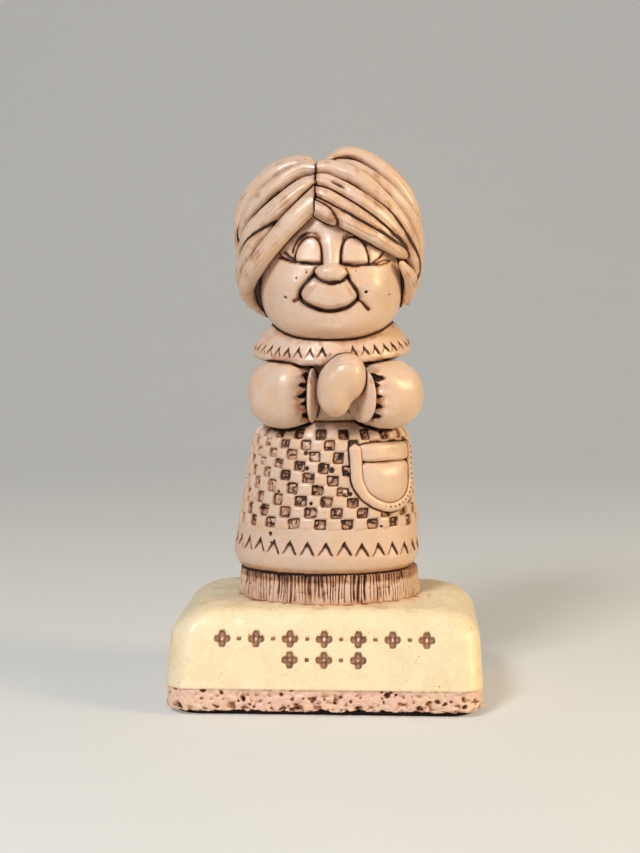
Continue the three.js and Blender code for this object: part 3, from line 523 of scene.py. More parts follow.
def bubbles(points, pitch, share, radius, seed):
    """Depth of air bubbles that the surface cuts open: one ball at a fixed odd place in a share of the
    cells of a cubic grid, each as deep as the half chord at the point."""
    base = np.floor(points / pitch)
    depth = np.zeros(points.shape[:-1])
    for corner in np.ndindex(3, 3, 3):
        cell = base + np.array(corner) - 1
        middle = np.stack([cell[..., k] + lattice(cell, seed + k) for k in range(3)], -1) * pitch
        size = radius * (0.4 + 0.6 * lattice(cell, seed + 3)) * (lattice(cell, seed + 4) < share)
        gap = ((points - middle) ** 2).sum(-1)
        depth = np.maximum(depth, np.sqrt(np.maximum(size**2 - gap, 0)))
    return depth


def bubble_wash(depth):
    """The wash that stands in an open bubble."""
    return smooth(0.08, 0.3, depth)


# Curves and grids


def grid(*parts):
    """Coordinates given as rows, columns or single values, joined into one grid of points."""
    return np.stack(np.broadcast_arrays(*parts), -1)


def unit(vectors):
    """Vectors brought to a length of one."""
    return vectors / np.linalg.norm(vectors, axis=-1, keepdims=True)


def evened(corners, count, closed=False):
    """Points at even steps of the length of a line of straight pieces. A closed line's end, which is its
    start again, is left out."""
    run = np.concatenate([[0], np.cumsum(np.linalg.norm(np.diff(corners, axis=0), axis=1))])
    even = np.linspace(0, run[-1], count, endpoint=not closed)
    return np.stack([np.interp(even, run, corners[:, k]) for k in range(corners.shape[1])], -1)


def spline(points, count):
    """A Catmull-Rom curve through points, sampled at even steps of its length."""
    p = np.asarray(points, float)
    p = np.vstack([2 * p[0] - p[1], p, 2 * p[-1] - p[-2]])
    t = np.linspace(0, 1, SPLINE_STEPS, endpoint=False)[:, None]
    pieces = []
    for a, b, c, d in zip(p, p[1:], p[2:], p[3:]):
        curve = 2 * b + (c - a) * t + (2 * a - 5 * b + 4 * c - d) * t**2 + (3 * b - a - 3 * c + d) * t**3
        pieces.append(curve / 2)
    return evened(np.vstack(pieces + [p[-2:-1]]), count)


def line_distance(x, z, line):
    """Distance in a plane from points to a line of short straight pieces."""
    nearest = np.full(x.shape, np.inf)
    for (ax, az), (bx, bz) in zip(line, line[1:]):
        along = np.array([bx - ax, bz - az])
        t = np.clip(((x - ax) * along[0] + (z - az) * along[1]) / (along @ along), 0, 1)
        nearest = np.minimum(nearest, np.hypot(x - ax - t * along[0], z - az - t * along[1]))
    return nearest


def ring(columns):
    """Angles of the columns of a closed ring, from +X round through +Y."""
    return np.linspace(0, 2 * np.pi, columns, endpoint=False)


def fuller(way, fullness):
    """Directions drawn out to a squared ball: a direction's length is (|x|^f + |y|^f + |z|^f)^(-1/f)."""
    return way * (np.abs(way) ** fullness).sum(-1, keepdims=True) ** (-1 / fullness)


def directions(rise, around, pole=2):
    """Unit directions in rows of one rise and columns of one angle round a pole axis."""
    rise, around = np.meshgrid(rise, around, indexing="ij")
    way = np.stack([np.cos(rise) * np.cos(around), np.cos(rise) * np.sin(around), np.sin(rise)], -1)
    return np.roll(way, pole - 2, axis=-1)


def ball(rise, around, halves, fullness=2.0, pole=2):
    """A squared ball with three half sizes about a pole axis."""
    return fuller(directions(rise, around, pole), fullness) * halves


def rises(count):
    """Angles from pole to pole, a little short of both."""
    return np.linspace(-np.pi / 2, np.pi / 2, count + 2)[1:-1]


def swing(points, degrees):
    """Points turned about the upright axis."""
    angle = np.radians(degrees)
    x, y, z = np.moveaxis(points, -1, 0)
    return np.stack([x * np.cos(angle) - y * np.sin(angle), x * np.sin(angle) + y * np.cos(angle), z], -1)


def tip_forward(points, degrees):
    """Points turned about the X axis, so that the front goes down."""
    angle = np.radians(degrees)
    x, y, z = np.moveaxis(points, -1, 0)
    return np.stack([x, y * np.cos(angle) - z * np.sin(angle), y * np.sin(angle) + z * np.cos(angle)], -1)


def normals(points):
    """Unit normals of a grid whose columns close: the cross product of the steps round and along it, turned
    to point away from each row's middle."""
    along = np.gradient(points, axis=0)
    around = np.roll(points, -1, axis=1) - np.roll(points, 1, axis=1)
    normal = np.cross(around, along)
    normal /= np.maximum(np.linalg.norm(normal, axis=-1, keepdims=True), 1e-9)
    outward = np.sum(normal * (points - points.mean(axis=1, keepdims=True)))
    return normal if outward > 0 else -normal


def push(points, amount):
    """A grid moved out along its normals."""
    return points + normals(points) * amount[..., None]


def drawn_in(row, x, shares):
    """Copies of a level row of points drawn in toward the figure's axis at x, to close an end."""
    middle = np.array([x, FIGURE_Y, 0])
    return [middle + (row - middle) * [share, share, 1] for share in shares]


def notch(beside, up, half, height, depth):
    """A chisel mark like an arrow head that points up: deepest at its tip, running out at its foot. The wash
    stands at its tip and along its right edge. Gives depth and wash at a distance beside its middle and
    above its foot."""
    rise = np.clip(up / height, 0, 1)
    edge = half * (1 - rise) - np.abs(beside)
    inside = smooth(0, 0.22, edge) * smooth(-0.25, 0.1, up) * (up < height)
    stroke = smooth(-0.1, 0.08, edge) * (1 - smooth(0.25, 0.9, edge)) * smooth(-0.2, 0.6, up)
    side = 0.5 + 0.5 * smooth(-0.2, 0.4, beside / half)
    tip = smooth(0.45, 0.8, rise) * smooth(-0.05, 0.1, edge)
    dark = np.maximum(stroke * side, tip) + 0.26 * inside * rise
    return inside * depth * (0.1 + 0.9 * rise), dark * (up < height + 0.1)


# Meshes

made = {}


def new_mesh(name, corners, loops, starts):
    """A mesh from its corners in metres, the corners of all faces in turn and where each face starts."""
    mesh = bpy.data.meshes.new(name)
    mesh.vertices.add(len(corners))
    mesh.vertices.foreach_set("co", corners.ravel())
    mesh.loops.add(len(loops))
    mesh.loops.foreach_set("vertex_index", loops)
    mesh.polygons.add(len(starts))
    mesh.polygons.foreach_set("loop_start", starts)
    mesh.update(calc_edges=True)
    return mesh


def new_object(name, data):
    """An object in the scene that shows the data."""
    added = bpy.data.objects.new(name, data)
    bpy.context.scene.collection.objects.link(added)
    return added


def piece(name, points, wash_and_shade, slot, closed=False):
    """Makes a grid of points a mesh object that stands for the CAD node of that name. The grid's columns
    close into rings; its first and last row end in a pole, or join each other where closed is set."""
    rows, columns = points.shape[:2]
    index = np.arange(rows * columns).reshape(rows, columns)
    low, high = (index, np.roll(index, -1, axis=0)) if closed else (index[:-1], index[1:])
    beside_low, beside_high = np.roll(low, -1, axis=1), np.roll(high, -1, axis=1)
    quads = np.stack([low, beside_low, beside_high, high], -1).reshape(-1, 4)
    corners = points.reshape(-1, 3)
    values = np.broadcast_to(wash_and_shade, (rows, columns)).reshape(-1)
    fans = np.zeros((0, 3), int)
    if not closed:
        foot, head = rows * columns, rows * columns + 1
        corners = np.vstack([corners, points[0].mean(0), points[-1].mean(0)])
        values = np.concatenate([values, [values[0], values[-1]]])
        first, last = index[0], index[-1]
        under = np.stack([np.full(columns, foot), np.roll(first, -1), first], -1)
        over = np.stack([np.full(columns, head), last, np.roll(last, -1)], -1)
        fans = np.vstack([under, over])
    triangles = np.vstack([quads[:, [0, 1, 2]], quads[:, [0, 2, 3]], fans])
    a, b, c = (corners[triangles[:, k]] for k in range(3))
    if np.sum(a * np.cross(b, c)) < 0:
        quads, fans = quads[:, ::-1], fans[:, ::-1]
    loops = np.concatenate([quads.ravel(), fans.ravel()])
    starts = np.concatenate([np.arange(len(quads)) * 4, quads.size + np.arange(len(fans)) * 3])
    mesh = new_mesh("cast_" + name, corners * MM, loops, starts)
    mesh.shade_smooth()
    attribute = mesh.attributes.new("wash_and_shade", "FLOAT", "POINT")
    attribute.data.foreach_set("value", np.clip(values, 0, 1).astype(np.float32))
    mesh.materials.append(FINISHES[slot](bpy.context.scene.doll_colours))
    made_object = new_object("cast_" + name, mesh)
    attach(made_object, BODY)
    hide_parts(name)
    made[name] = made_object


# Plinth and petticoat


def corner_columns(front, side, back, corner):
    """Columns of a rounded rectangle, as the signs of the corner's centre and the outward direction: the
    signs slide from -1 to 1 along an edge, and the direction turns a quarter circle at a corner."""
    signs, ways = [], []
    edges = [
        (front, (-1, -1), (1, -1)),
        (side, (1, -1), (1, 1)),
        (back, (1, 1), (-1, 1)),
        (side, (-1, 1), (-1, -1)),
    ]
    for quarter, (count, start, end) in enumerate(edges):
        t = np.linspace(0, 1, count, endpoint=False)[:, None]
        signs.append(np.array(start) * (1 - t) + np.array(end) * t)
        face = np.radians(-90 + 90 * quarter)
        ways.append(np.tile([np.cos(face), np.sin(face)], (count, 1)))
        turned = face + np.linspace(0, np.pi / 2, corner, endpoint=False)
        signs.append(np.tile(end, (corner, 1)))
        ways.append(np.stack([np.cos(turned), np.sin(turned)], -1))
    return np.vstack(signs), np.vstack(ways)


def carved_flowers(x, z, depth):
    """Two rows of scooped flowers with a dot between each two: four round scoops about a middle, and a
    scoop's depth is the root of 1 - (gap / radius)^2, as of half a ball. Gives depth and wash."""
    steps = PETAL_REACH * np.array([(1, 0), (-1, 0), (0, 1), (0, -1)])
    cut = np.zeros(x.shape)
    for height, count in FLOWER_ROWS:
        for k in range(count):
            middle = (k - (count - 1) / 2) * FLOWER_PITCH
            scoops = [(middle + a, height + b, PETAL_RADIUS) for a, b in steps]
            if k < count - 1:
                scoops.append((middle + FLOWER_PITCH / 2, height, DOT_RADIUS))
            for scoop_x, scoop_z, radius in scoops:
                cut = np.maximum(cut, 1 - ((x - scoop_x) ** 2 + (z - scoop_z) ** 2) / radius**2)
    return depth * np.sqrt(cut), smooth(0.0, 0.3, cut) * (0.62 - 0.22 * cut)


def plinth_form():
    """The plain plinth: a rounded rectangle carried up a profile with a flat underside, a rounded foot, an
    upright band, slopes of their own at front, back and sides, a shoulder that rounds in as a quarter
    ellipse at the sides and a squarer one in front, and a flat top. Gives the grid, each row's share of its
    full outline and each column's outward direction."""
    low, high = PLINTH.low[2], PLINTH.high[2]
    foot = np.radians([20, 45, 70])
    bend = np.linspace(0, np.pi / 2, 30)[1:]
    near_middle = 0.03

    def level(z, tuck, turn, scale):
        lean = np.maximum(z - BAND_TOP, 0) / (high - BAND_TOP)
        inward = 1 - np.cos(turn)
        wide = PLINTH.half[0] - SIDE_LEAN * lean - SHOULDER_SIDE * inward - tuck
        crisp = 1 - (1 - np.sin(turn) ** EDGE_FULLNESS) ** (1 / EDGE_FULLNESS)
        front = PLINTH.half[1] - FRONT_LEAN * lean - SHOULDER_FRONT * crisp - tuck
        back = PLINTH.half[1] - BACK_LEAN * lean - SHOULDER_FRONT * crisp - tuck
        return grid(wide, front, back, z, scale)

    profile = np.vstack([
        level(np.full(5, low), FOOT_ROUND, 0.0, np.linspace(near_middle, 1, 5)),
        level(low + FOOT_ROUND * (1 - np.cos(foot)), FOOT_ROUND * (1 - np.sin(foot)), 0.0, 1.0),
        level(np.linspace(low + FOOT_ROUND, BAND_TOP, 31), 0.0, 0.0, 1.0),
        level(np.linspace(BAND_TOP, high - SHOULDER, 38)[1:], 0.0, 0.0, 1.0),
        level(high - SHOULDER * (1 - np.sin(bend)), 0.0, bend, 1.0),
        level(np.full(14, high), 0.0, np.pi / 2, np.linspace(1, near_middle, 15)[1:]),
    ])
    signs, ways = corner_columns(front=300, side=130, back=150, corner=22)
    wide, front, back, z, scale = (profile[:, None, k] for k in range(5))
    x = signs[:, 0] * (wide - PLINTH_CORNER) + PLINTH_CORNER * ways[:, 0]
    y = signs[:, 1] * ((front + back) / 2 - PLINTH_CORNER) + PLINTH_CORNER * ways[:, 1]
    return grid(x * scale, y * scale + (back - front) / 2, z), scale, ways


def plinth(sizes):
    """The plinth's form with its finish: the band is torn by large and small bent bubbles and by the hollows
    of a noise, the front carries the carved flowers, and the top is gritty."""
    low, high = PLINTH.low[2], PLINTH.high[2]
    points, scale, ways = plinth_form()
    x, z = points[..., 0], points[..., 2]
    on_band = smooth(BAND_TOP + 0.1, BAND_TOP - 0.25, z) * smooth(0.9, 0.99, scale)
    on_top = smooth(high - 1.5, high - 0.3, z)
    facing = (ways[:, 1] < -0.99)[None] * smooth(BAND_TOP + 1, BAND_TOP + 2, z)
    facing = facing * smooth(high - 2, high - 3, z)
    bent = points + 0.6 * np.stack([mottle(points, 1.3, 12 + k) for k in range(3)], -1)
    lumps = mottle(bent, 1.1, 5)
    torn = smooth(BAND_TOP - 0.5, BAND_TOP - 2.2, z) * smooth(-1.0, -0.2, mottle(points, 3.4, 7))
    large = bubbles(bent, 1.9, 0.6, sizes.bubble / MM, 16)
    small = bubbles(bent, *BUBBLES["band"])
    pits = np.maximum(large, torn * small)
    marks = torn * smooth(-0.05, -0.6, lumps)
    pores = bubbles(points, *BUBBLES["plinth"])
    carve, stain = carved_flowers(x, z, sizes.ornament_depth / MM)
    waves = ripple(points, *WAVES["plinth"])
    grit = on_top * 0.14 * mottle(points, 1.0, 9)
    bite = on_band * (0.35 + 0.8 * pits + 0.4 * marks - 0.35 * lumps)
    amount = waves * smooth(low, low + 1.5, z) + grit - bite - (1 - on_band) * 0.5 * pores - facing * carve
    pink = 0.04 + 0.62 * smooth(0.2, 0.55, pits) + 0.4 * marks + 0.1 * mottle(points, 3.0, 10)
    wash_and_shade = on_band * pink + (1 - on_band) * smooth(0.05, 0.25, pores) * 0.5
    dust = on_top * (0.08 + 0.14 * mottle(points, 2.6, 8))
    piece("plinth", push(points, amount), np.maximum.reduce([wash_and_shade, facing * stain, dust]), "stone")


def petticoat(sizes):
    """An oval carried up, a little narrower at its head. Its pleats are ribs between grooves of odd widths
    and depths: a groove stands at each whole number of an angle that noise makes uneven, and grooves come in
    clusters where a slower noise is high."""
    low, high = PETTICOAT.low[2], PETTICOAT.high[2]
    rows, columns = PETTICOAT_GRID
    angle = ring(columns)[None]
    z = np.linspace(low - PETTICOAT_SINK, high + PETTICOAT_TUCK, rows)[:, None]
    flare = PETTICOAT_FLARE * (z - low) / (high - low)
    x = PETTICOAT.middle[0] + (PETTICOAT.half[0] - flare) * np.cos(angle)
    y = FIGURE_Y + (PETTICOAT.half[1] - flare) * np.sin(angle)
    points = grid(x, y, z)
    z = points[..., 2]
    upright = points * [1, 1, 0.16]
    phase = PLEATS * angle / (2 * np.pi) + 1.4 * mottle(upright, 4.0, 41) + 0.6 * mottle(upright, 1.2, 42)
    count = np.round(phase)
    width = 0.2 + 0.32 * draw(count, 47) ** 2
    groove = smooth(width, 0.4 * width, np.abs(phase - count))
    cluster = smooth(-0.55, 0.35, mottle(upright * [1, 1, 0], 7.0, 48))
    strength = (0.4 + 0.6 * draw(count, 43)) * (0.45 + 0.55 * cluster)
    strength = strength * smooth(low, low + 0.4 + 2.2 * draw(count, 40), z)
    ragged = 0.55 + 0.45 * smooth(-0.5, 0.3, mottle(points, 1.0, 49))
    chips = smooth(0.3, 0.7, mottle(points, 1.0, 44))
    amount = -sizes.pleat_depth / MM * groove * strength - 0.25 * chips + 0.2 * mottle(upright, 2.2, 46)
    wash_and_shade = 0.06 + 0.9 * groove * strength * ragged + 0.14 * mottle(points, 2.0, 45) + 0.12 * chips
    # Painted shade: darker just under the dress's hem at the top and at the foot against the plinth
    wash_and_shade = wash_and_shade + 0.3 * smooth(high - 0.9, high + 0.2, z) + 0.14 * smooth(low + 1.4, low, z)
    inner, outer = drawn_in(points[:1], PETTICOAT.middle[0], (0.3, 0.85))
    roof = outer + [0, 0, z[-1, 0] - z[0, 0]]
    points = np.vstack([inner, outer, push(points, amount), roof])
    piece("petticoat", points, np.vstack([wash_and_shade[:1], wash_and_shade[:1], wash_and_shade, wash_and_shade[-1:]]), "stained")


# Dress and pocket


def dress_middle(z):
    """The dress's middle line leans: its place across at a height, straight from hem to yoke."""
    return HEM_X + (YOKE_X - HEM_X) * (z - HEM_Z) / (DRESS_TOP - HEM_Z)


def dress_half(z):
    """The dress's half width at a height: a straight taper, less a quarter circle at the hem and the yoke."""
    taper = HEM_HALF + (YOKE_HALF - HEM_HALF) * (z - HEM_Z) / (DRESS_TOP - HEM_Z)

    def roll(radius, depth):
        return radius - np.sqrt(np.maximum(0, radius**2 - np.maximum(0, depth) ** 2))

    return taper - roll(HEM_ROLL, HEM_Z + HEM_ROLL - z) - roll(YOKE_ROUND, z - DRESS_TOP + YOKE_ROUND)


def checks(degrees, z, points, depth):
    """The checkerboard between border and yoke. Cells are counted round and up; each row starts a little
    further round than the one below, and the rows tilt in front. Every second cell is a square pit with a
    ragged edge, a lumpy floor and dark lines along the zero lines of a noise, the others are pillows. A pit's
    rim is painted dark as shade, most along its top and left walls as seen from the front. Round pinholes lie
    over the front. Gives lift, and wash with painted shade."""
    pitch = (DRESS_TOP - CHECK_HEAD - HEM_Z - CHECK_FOOT) / CHECK_ROWS
    row = (z - HEM_Z - CHECK_FOOT) / pitch
    sway = CHECK_SWAY * np.tanh((points[..., 0] - CHECK_SWAY_X) / CHECK_SWAY)
    tilt = CHECK_TILT * bell(row - CHECK_TILT_ROW, CHECK_TILT_SPREAD)
    row = row + tilt * sway / pitch + 0.07 * mottle(points, 3.4, 52)
    column = (degrees - CHECK_TURN - CHECK_TWIST * np.floor(row)) / 360 * CHECK_COLUMNS + 0.5
    column = column + 0.07 * mottle(points, 3.4, 51)
    inside = smooth(-0.02, 0.02, row) * smooth(CHECK_ROWS + 0.02, CHECK_ROWS - 0.02, row)
    cell_column, cell_row = np.floor(column), np.floor(row)
    beside, above = 2 * (column - cell_column) - 1, 2 * (row - cell_row) - 1
    edge = (np.abs(beside) ** PIT_FULLNESS + np.abs(above) ** PIT_FULLNESS) ** (1 / PIT_FULLNESS)
    ragged = edge + 0.05 * mottle(points, 0.8, 55)
    sunk = (cell_column + cell_row) % 2 == 0
    own = lattice(np.stack([cell_column % CHECK_COLUMNS, cell_row, np.zeros_like(row)], -1), 53)
    lump = smooth(-0.25, 0.5, mottle(points, 0.75, 54))
    floor = smooth(0.82, 0.58, ragged)
    pit = inside * sunk * smooth(0.97, 0.85, ragged)
    lift = -pit * (depth * (0.8 + 0.35 * own) - 0.6 * lump * floor)
    raised = inside * ~sunk * PILLOW_LIFT * (1 - edge**6)
    squiggle = smooth(0.3, 0.06, np.abs(mottle(points, 1.15, 63)))
    worn = 0.55 + 0.45 * smooth(-0.7, 0.3, np.sin(np.radians(degrees + 25)) + 0.5 * mottle(points, 9, 64))
    # Painted shade: a pit's rim is darker along its top and left walls
    shade = 0.45 + 0.35 * smooth(-0.3, 0.8, above) + 0.2 * smooth(0.2, -0.8, beside)
    rim_shade_and_lines = np.maximum(smooth(0.66, 0.86, ragged) * shade, 0.72 * squiggle * floor)
    dark = pit * worn * (0.24 + rim_shade_and_lines + 0.16 * own - 0.16 * lump * floor)
    hole = np.zeros(z.shape)
    for hole_x, hole_z, radius in DRESS_PINHOLES:
        away = np.hypot(points[..., 0] - hole_x, z - hole_z)
        hole = np.maximum(hole, smooth(1.15 * radius, 0.75 * radius, away) * (points[..., 1] < 0))
    return lift + raised - PINHOLE_DEPTH * hole, np.maximum(dark, hole)


def hem_notches(degrees, z, points, depth):
    """The row of notches above the hem, counted round; noise sways each one. Gives depth and wash."""
    pitch = 360 / HEM_NOTCHES
    girth = 2 * np.pi * HEM_HALF * HEM_GIRTH_SHARE
    beside = ((degrees - HEM_NOTCH_TURN + pitch / 2) % pitch - pitch / 2) / 360 * girth
    beside = beside + 0.16 * mottle(points, 1.6, 56)
    sway = 0.35 * mottle(points * [1, 1, 0.05], 3, 57) + 0.12 * mottle(points, 1.0, 50)
    up = z - HEM_Z - HEM_NOTCH_FOOT + HEM_NOTCH_SLANT * points[..., 0] + sway
    half = NOTCH_SHARE * girth / 2 / HEM_NOTCHES
    return notch(beside, up, half, HEM_NOTCH_HEIGHT, depth)


def dress(sizes):
    """A bell: ovals of the dress's half width carried up its leaning middle line, with the checks, the row of
    notches above the hem and a few bubbles pushed in along the normals."""
    hem = HEM_Z + HEM_ROLL * (1 - np.cos(np.linspace(0, np.pi / 2, HEM_ROWS)))
    yoke = DRESS_TOP - YOKE_ROUND * (1 - np.sin(np.linspace(0, np.pi / 2, YOKE_ROWS)))
    straight = np.linspace(hem[-1], yoke[0], SKIRT_ROWS + 2)[1:-1]
    angle = ring(CHECK_COLUMNS * CHECK_GRID)[None]
    z = np.concatenate([hem, straight, yoke])[:, None]
    half = dress_half(z)
    x = dress_middle(z) + half * np.cos(angle)
    y = FIGURE_Y + half * DRESS_DEPTH_RATIO * np.sin(angle)
    points = grid(x, y, z)
    degrees = np.broadcast_to(np.degrees(angle) + 90, points.shape[:2])
    z = points[..., 2]
    lift, wash_and_shade = checks(degrees, z, points, sizes.check_depth / MM)
    cut, stain = hem_notches(degrees, z, points, sizes.notch_depth / MM)
    holes = bubbles(points, *BUBBLES["dress"])
    # Painted shade on the hem's underside where its roll turns under, fading out a little above it
    under = 0.55 * smooth(HEM_Z + 1.8, HEM_Z + 0.3, z) + 0.26 * smooth(HEM_Z + 4.4, HEM_Z + 2.4, z)
    waves = ripple(points, *WAVES["dress"])
    wash_and_shade = np.maximum.reduce([wash_and_shade, stain, smooth(0.1, 0.4, holes), under])
    points = push(points, lift - cut - holes + waves)
    floor = drawn_in(points[:1], HEM_X, (0.2, 0.8))
    roof = drawn_in(points[-1:], YOKE_X, (0.8, 0.2))
    wash_and_shade = np.vstack([wash_and_shade[:1], wash_and_shade[:1], wash_and_shade, wash_and_shade[-1:], wash_and_shade[-1:]])
    piece("dress", np.vstack([*floor, points, *roof]), wash_and_shade, "cream")


def on_dress(beside, z, lift):
    """Points on the dress seen square on from the pocket's side: the line through (beside, z) in the pocket's
    own direction meets the dress's oval, and the point stands off along the oval's normal."""
    face = np.radians(POCKET_ANGLE)
    across = np.array([np.cos(face), np.sin(face)])
    ahead = np.array([np.sin(face), -np.cos(face)])
    wide = dress_half(z)
    deep = wide * DRESS_DEPTH_RATIO
    a = (ahead[0] / wide) ** 2 + (ahead[1] / deep) ** 2
    b = beside * (across[0] * ahead[0] / wide**2 + across[1] * ahead[1] / deep**2)
    c = beside**2 * ((across[0] / wide) ** 2 + (across[1] / deep) ** 2) - 1
    reach = (-b + np.sqrt(np.maximum(b * b - a * c, 0))) / a
    x = beside * across[0] + reach * ahead[0]
    y = beside * across[1] + reach * ahead[1]
    normal = unit(np.stack([x / wide**2, y / deep**2], -1))
    x = x + normal[..., 0] * lift + dress_middle(z)
    return np.stack([x, y + normal[..., 1] * lift + FIGURE_Y, z], -1)


def half_round(radius, centre, count):
    """The lower half of a circle about a height, from left to right."""
    bend = np.radians(np.linspace(180, 360, count))
    return np.stack([radius * np.cos(bend), centre + radius * np.sin(bend)], -1)


def pocket_trim(sizes):
    """A rounded strip carried along a U: two straight sides and a half circle. From its bend on, a row of
    pricked dots, a wave along its length, runs along its ridge."""
    middle = POCKET_HALF - POCKET_TRIM / 2
    arc = half_round(middle, POCKET_FOOT + POCKET_HALF, 25)
    path = spline(np.vstack([[-middle, POCKET_TOP], arc, [middle, POCKET_TOP]]), 240)
    along = unit(np.gradient(path, axis=0))
    outward = np.stack([along[:, 1], -along[:, 0]], -1)
    turn = ring(40)[None]
    run = np.linspace(0, 1, len(path))[:, None]
    ends = np.sqrt(smooth(0, 0.03, run) * smooth(1, 0.97, run)) * 0.9 + 0.1
    across = (POCKET_TRIM / 2 + 0.1) * np.sign(np.cos(turn)) * np.abs(np.cos(turn)) ** 0.8 * ends
    height = 0.5 + 0.85 * np.sin(turn) * ends
    height = np.where(np.sin(turn) < 0, 0.5 + 1.1 * np.sin(turn), height)
    flat = path[:, None] + outward[:, None] * across[..., None]
    points = on_dress(flat[..., 0], flat[..., 1], height)
    stitch = smooth(0.35, 0.75, np.sin(2 * np.pi * STITCHES * run + 2.2 * np.sin(9 * run)))
    on_ridge = bell(np.cos(turn) + 0.1, 0.22) * (np.sin(turn) > 0)
    dots = stitch * smooth(0.42, 0.5, run) * on_ridge
    points = push(points, 0.1 * mottle(points, 2.2, 70) - 0.25 * dots)
    wash_and_shade = 0.75 * dots + 0.08 * mottle(points, 1.2, 71)
    piece("pocket_trim", points, wash_and_shade, "cream")


def pocket_patch(node, outline, thickness, fullness, seed):
    """A pillow within an outline: the outline is drawn together toward its middle, and the height over the
    dress falls as the root of 1 - share^fullness from the middle to the edge."""
    under = np.linspace(0.04, 1, 6)
    over = np.linspace(1, 0.04, 60)
    share = np.concatenate([under, over])[:, None, None]
    height = np.concatenate([np.full(6, -0.5), thickness * np.sqrt(1 - over**fullness) + 0.05])
    middle = outline.mean(0)
    flat = middle + (outline[None] - middle) * share
    points = on_dress(flat[..., 0], flat[..., 1], np.broadcast_to(height[:, None], flat.shape[:2]))
    points = push(points, 0.14 * mottle(points, 3.0, seed + 1))
    wash_and_shade = 0.06 * mottle(points, 1.5, seed) + 0.2 * smooth(0.86, 1.0, share[..., 0])
    piece(node, points, wash_and_shade, "cream")


def pocket(sizes):
    """The pocket's pouch, its corners rounded by a running mean, and its turned-over band, a squared oval,
    inside the trim."""
    columns = 140
    bottom = POCKET_FOOT + POCKET_TRIM * 0.8
    fold = POCKET_TOP - POCKET_BAND
    half = POCKET_HALF - POCKET_TRIM * 0.86
    arc = half_round(half, bottom + half, 40)
    pouch = np.vstack([[0.0, fold], [-half, fold], arc, [half, fold], [0.0, fold]])
    pouch = evened(pouch, columns, closed=True)
    pouch = np.mean([np.roll(pouch, k, axis=0) for k in range(-6, 7)], axis=0)
    pocket_patch("pocket", pouch, POUCH_LIFT, 2.4, 72)
    turn = ring(columns)
    square = (np.abs(np.cos(turn)) ** 6 + np.abs(np.sin(turn)) ** 6) ** (-1 / 6)
    band = np.stack([(half + 0.1) * np.cos(turn) * square, POCKET_BAND / 2 * np.sin(turn) * square], -1)
    pocket_patch("pocket_band", band + [0, (fold + POCKET_TOP) / 2 + 0.1], BAND_LIFT, 5.0, 74)


# Head


def lid_side(away):
    """A lid's half width and fullness on the side away from the nose, or toward it."""
    outer = away > 0
    return np.where(outer, LID_OUTER, LID_INNER), np.where(outer, LID_OUTER_FULLNESS, LID_INNER_FULLNESS)


def lid_arch(side):
    """The upper edge of a closed lid: half a squared circle with its own half width toward the nose and
    away from it."""
    arch = np.linspace(0, np.pi, 25)
    half, bend = lid_side(np.cos(arch))
    reach = (np.abs(np.cos(arch)) ** bend + np.sin(arch) ** bend) ** (-1 / bend)
    beside = side * (LID_APEX + half * np.cos(arch) * reach)
    return np.stack([beside, LID_FOOT + LID_HEIGHT * np.sin(arch) * reach], -1)


def face_lines():
    """The grooves of the face, and three lines of painted shade on the upper lip: points beside and above the
    middle, width, depth share and wash.
    """
    lids = [lid_arch(side) for side in (-1, 1)]
    lines = [(lid, 0.3, 1.0, 1.0) for lid in lids]
    lines += [(lid[4:19] + [0, 1.0], 0.4, 0.4, 0.6) for lid in lids]
    lines += [(lids[0][2:12] + [-0.7, 0.8], 0.26, 0.6, 0.9)]
    smile = [(-7.7, -2.0), (-6.7, -3.3), (-4.4, -4.6), (-0.8, -5.5), (2.9, -4.9), (5.0, -3.7), (6.5, -2.3)]
    nose = [(-4.2, 3.6), (-2.8, 2.2), (-0.9, 1.45), (0.9, 1.4), (2.5, 1.9), (3.9, 3.1)]
    drawn = [
        ([(-2.2, 6.0), (-4.3, 6.1), (-7.7, 6.4), (-10.4, 6.9), (-13.0, 7.8)], 0.36, 1.0, 1.0),
        ([(2.4, 6.1), (4.1, 5.8), (6.7, 5.7), (9.2, 6.0), (11.2, 6.0)], 0.34, 1.0, 1.0),
        ([(11.2, 6.0), (12.6, 6.1), (13.9, 6.6)], 0.2, 0.45, 0.85),
        ([(-9.6, 7.3), (-10.4, 7.8), (-11.6, 8.9)], 0.28, 0.7, 1.0),
        ([(-10.6, 6.9), (-12.0, 7.5), (-13.0, 8.7)], 0.24, 0.6, 0.9),
        ([(10.2, 6.5), (11.6, 7.5), (12.7, 9.2)], 0.22, 0.5, 0.9),
        ([(10.9, 6.2), (12.5, 6.9), (14.2, 7.0)], 0.2, 0.4, 0.8),
        (nose, 0.42, 1.0, 1.0),
        ([(-4.2, 3.6), (-4.2, 4.4), (-3.8, 5.2)], 0.28, 0.5, 0.8),
        ([(3.9, 3.1), (3.9, 4.0), (3.4, 4.8)], 0.26, 0.4, 0.6),
        ([(-4.3, 3.3), (-6.0, 1.5), (-7.2, -0.4), (-7.7, -2.0)], 0.46, 1.2, 1.0),
        ([(3.9, 2.8), (5.1, 0.8), (6.1, -0.9), (6.5, -2.3)], 0.46, 1.2, 1.0),
        (smile, 0.55, 1.5, 1.0),
        ([(-7.6, -2.3), (-8.3, -2.7), (-8.9, -3.0)], 0.6, 0.5, 0.62),
        # Three lines of no depth: painted shade on the upper lip's pillow, along the smile and down its sides
        # by the laugh lines
        ([(x, z + 0.9) for x, z in smile[1:-1]], 0.8, 0.0, 0.22),
        ([(-3.6, 1.4), (-5.0, 0.2), (-6.1, -1.6)], 1.4, 0.0, 0.2),
        ([(3.6, 1.2), (4.4, 0.0), (5.2, -1.6)], 1.2, 0.0, 0.18),
        ([(6.5, -2.5), (7.9, -3.9), (9.0, -5.1)], 0.36, 0.9, 0.95),
        ([(-3.3, -7.7), (-0.7, -8.0), (1.7, -7.8)], 0.9, 0.25, 0.12),
    ]
    return lines + [(spline(points, 30), *rest) for points, *rest in drawn]


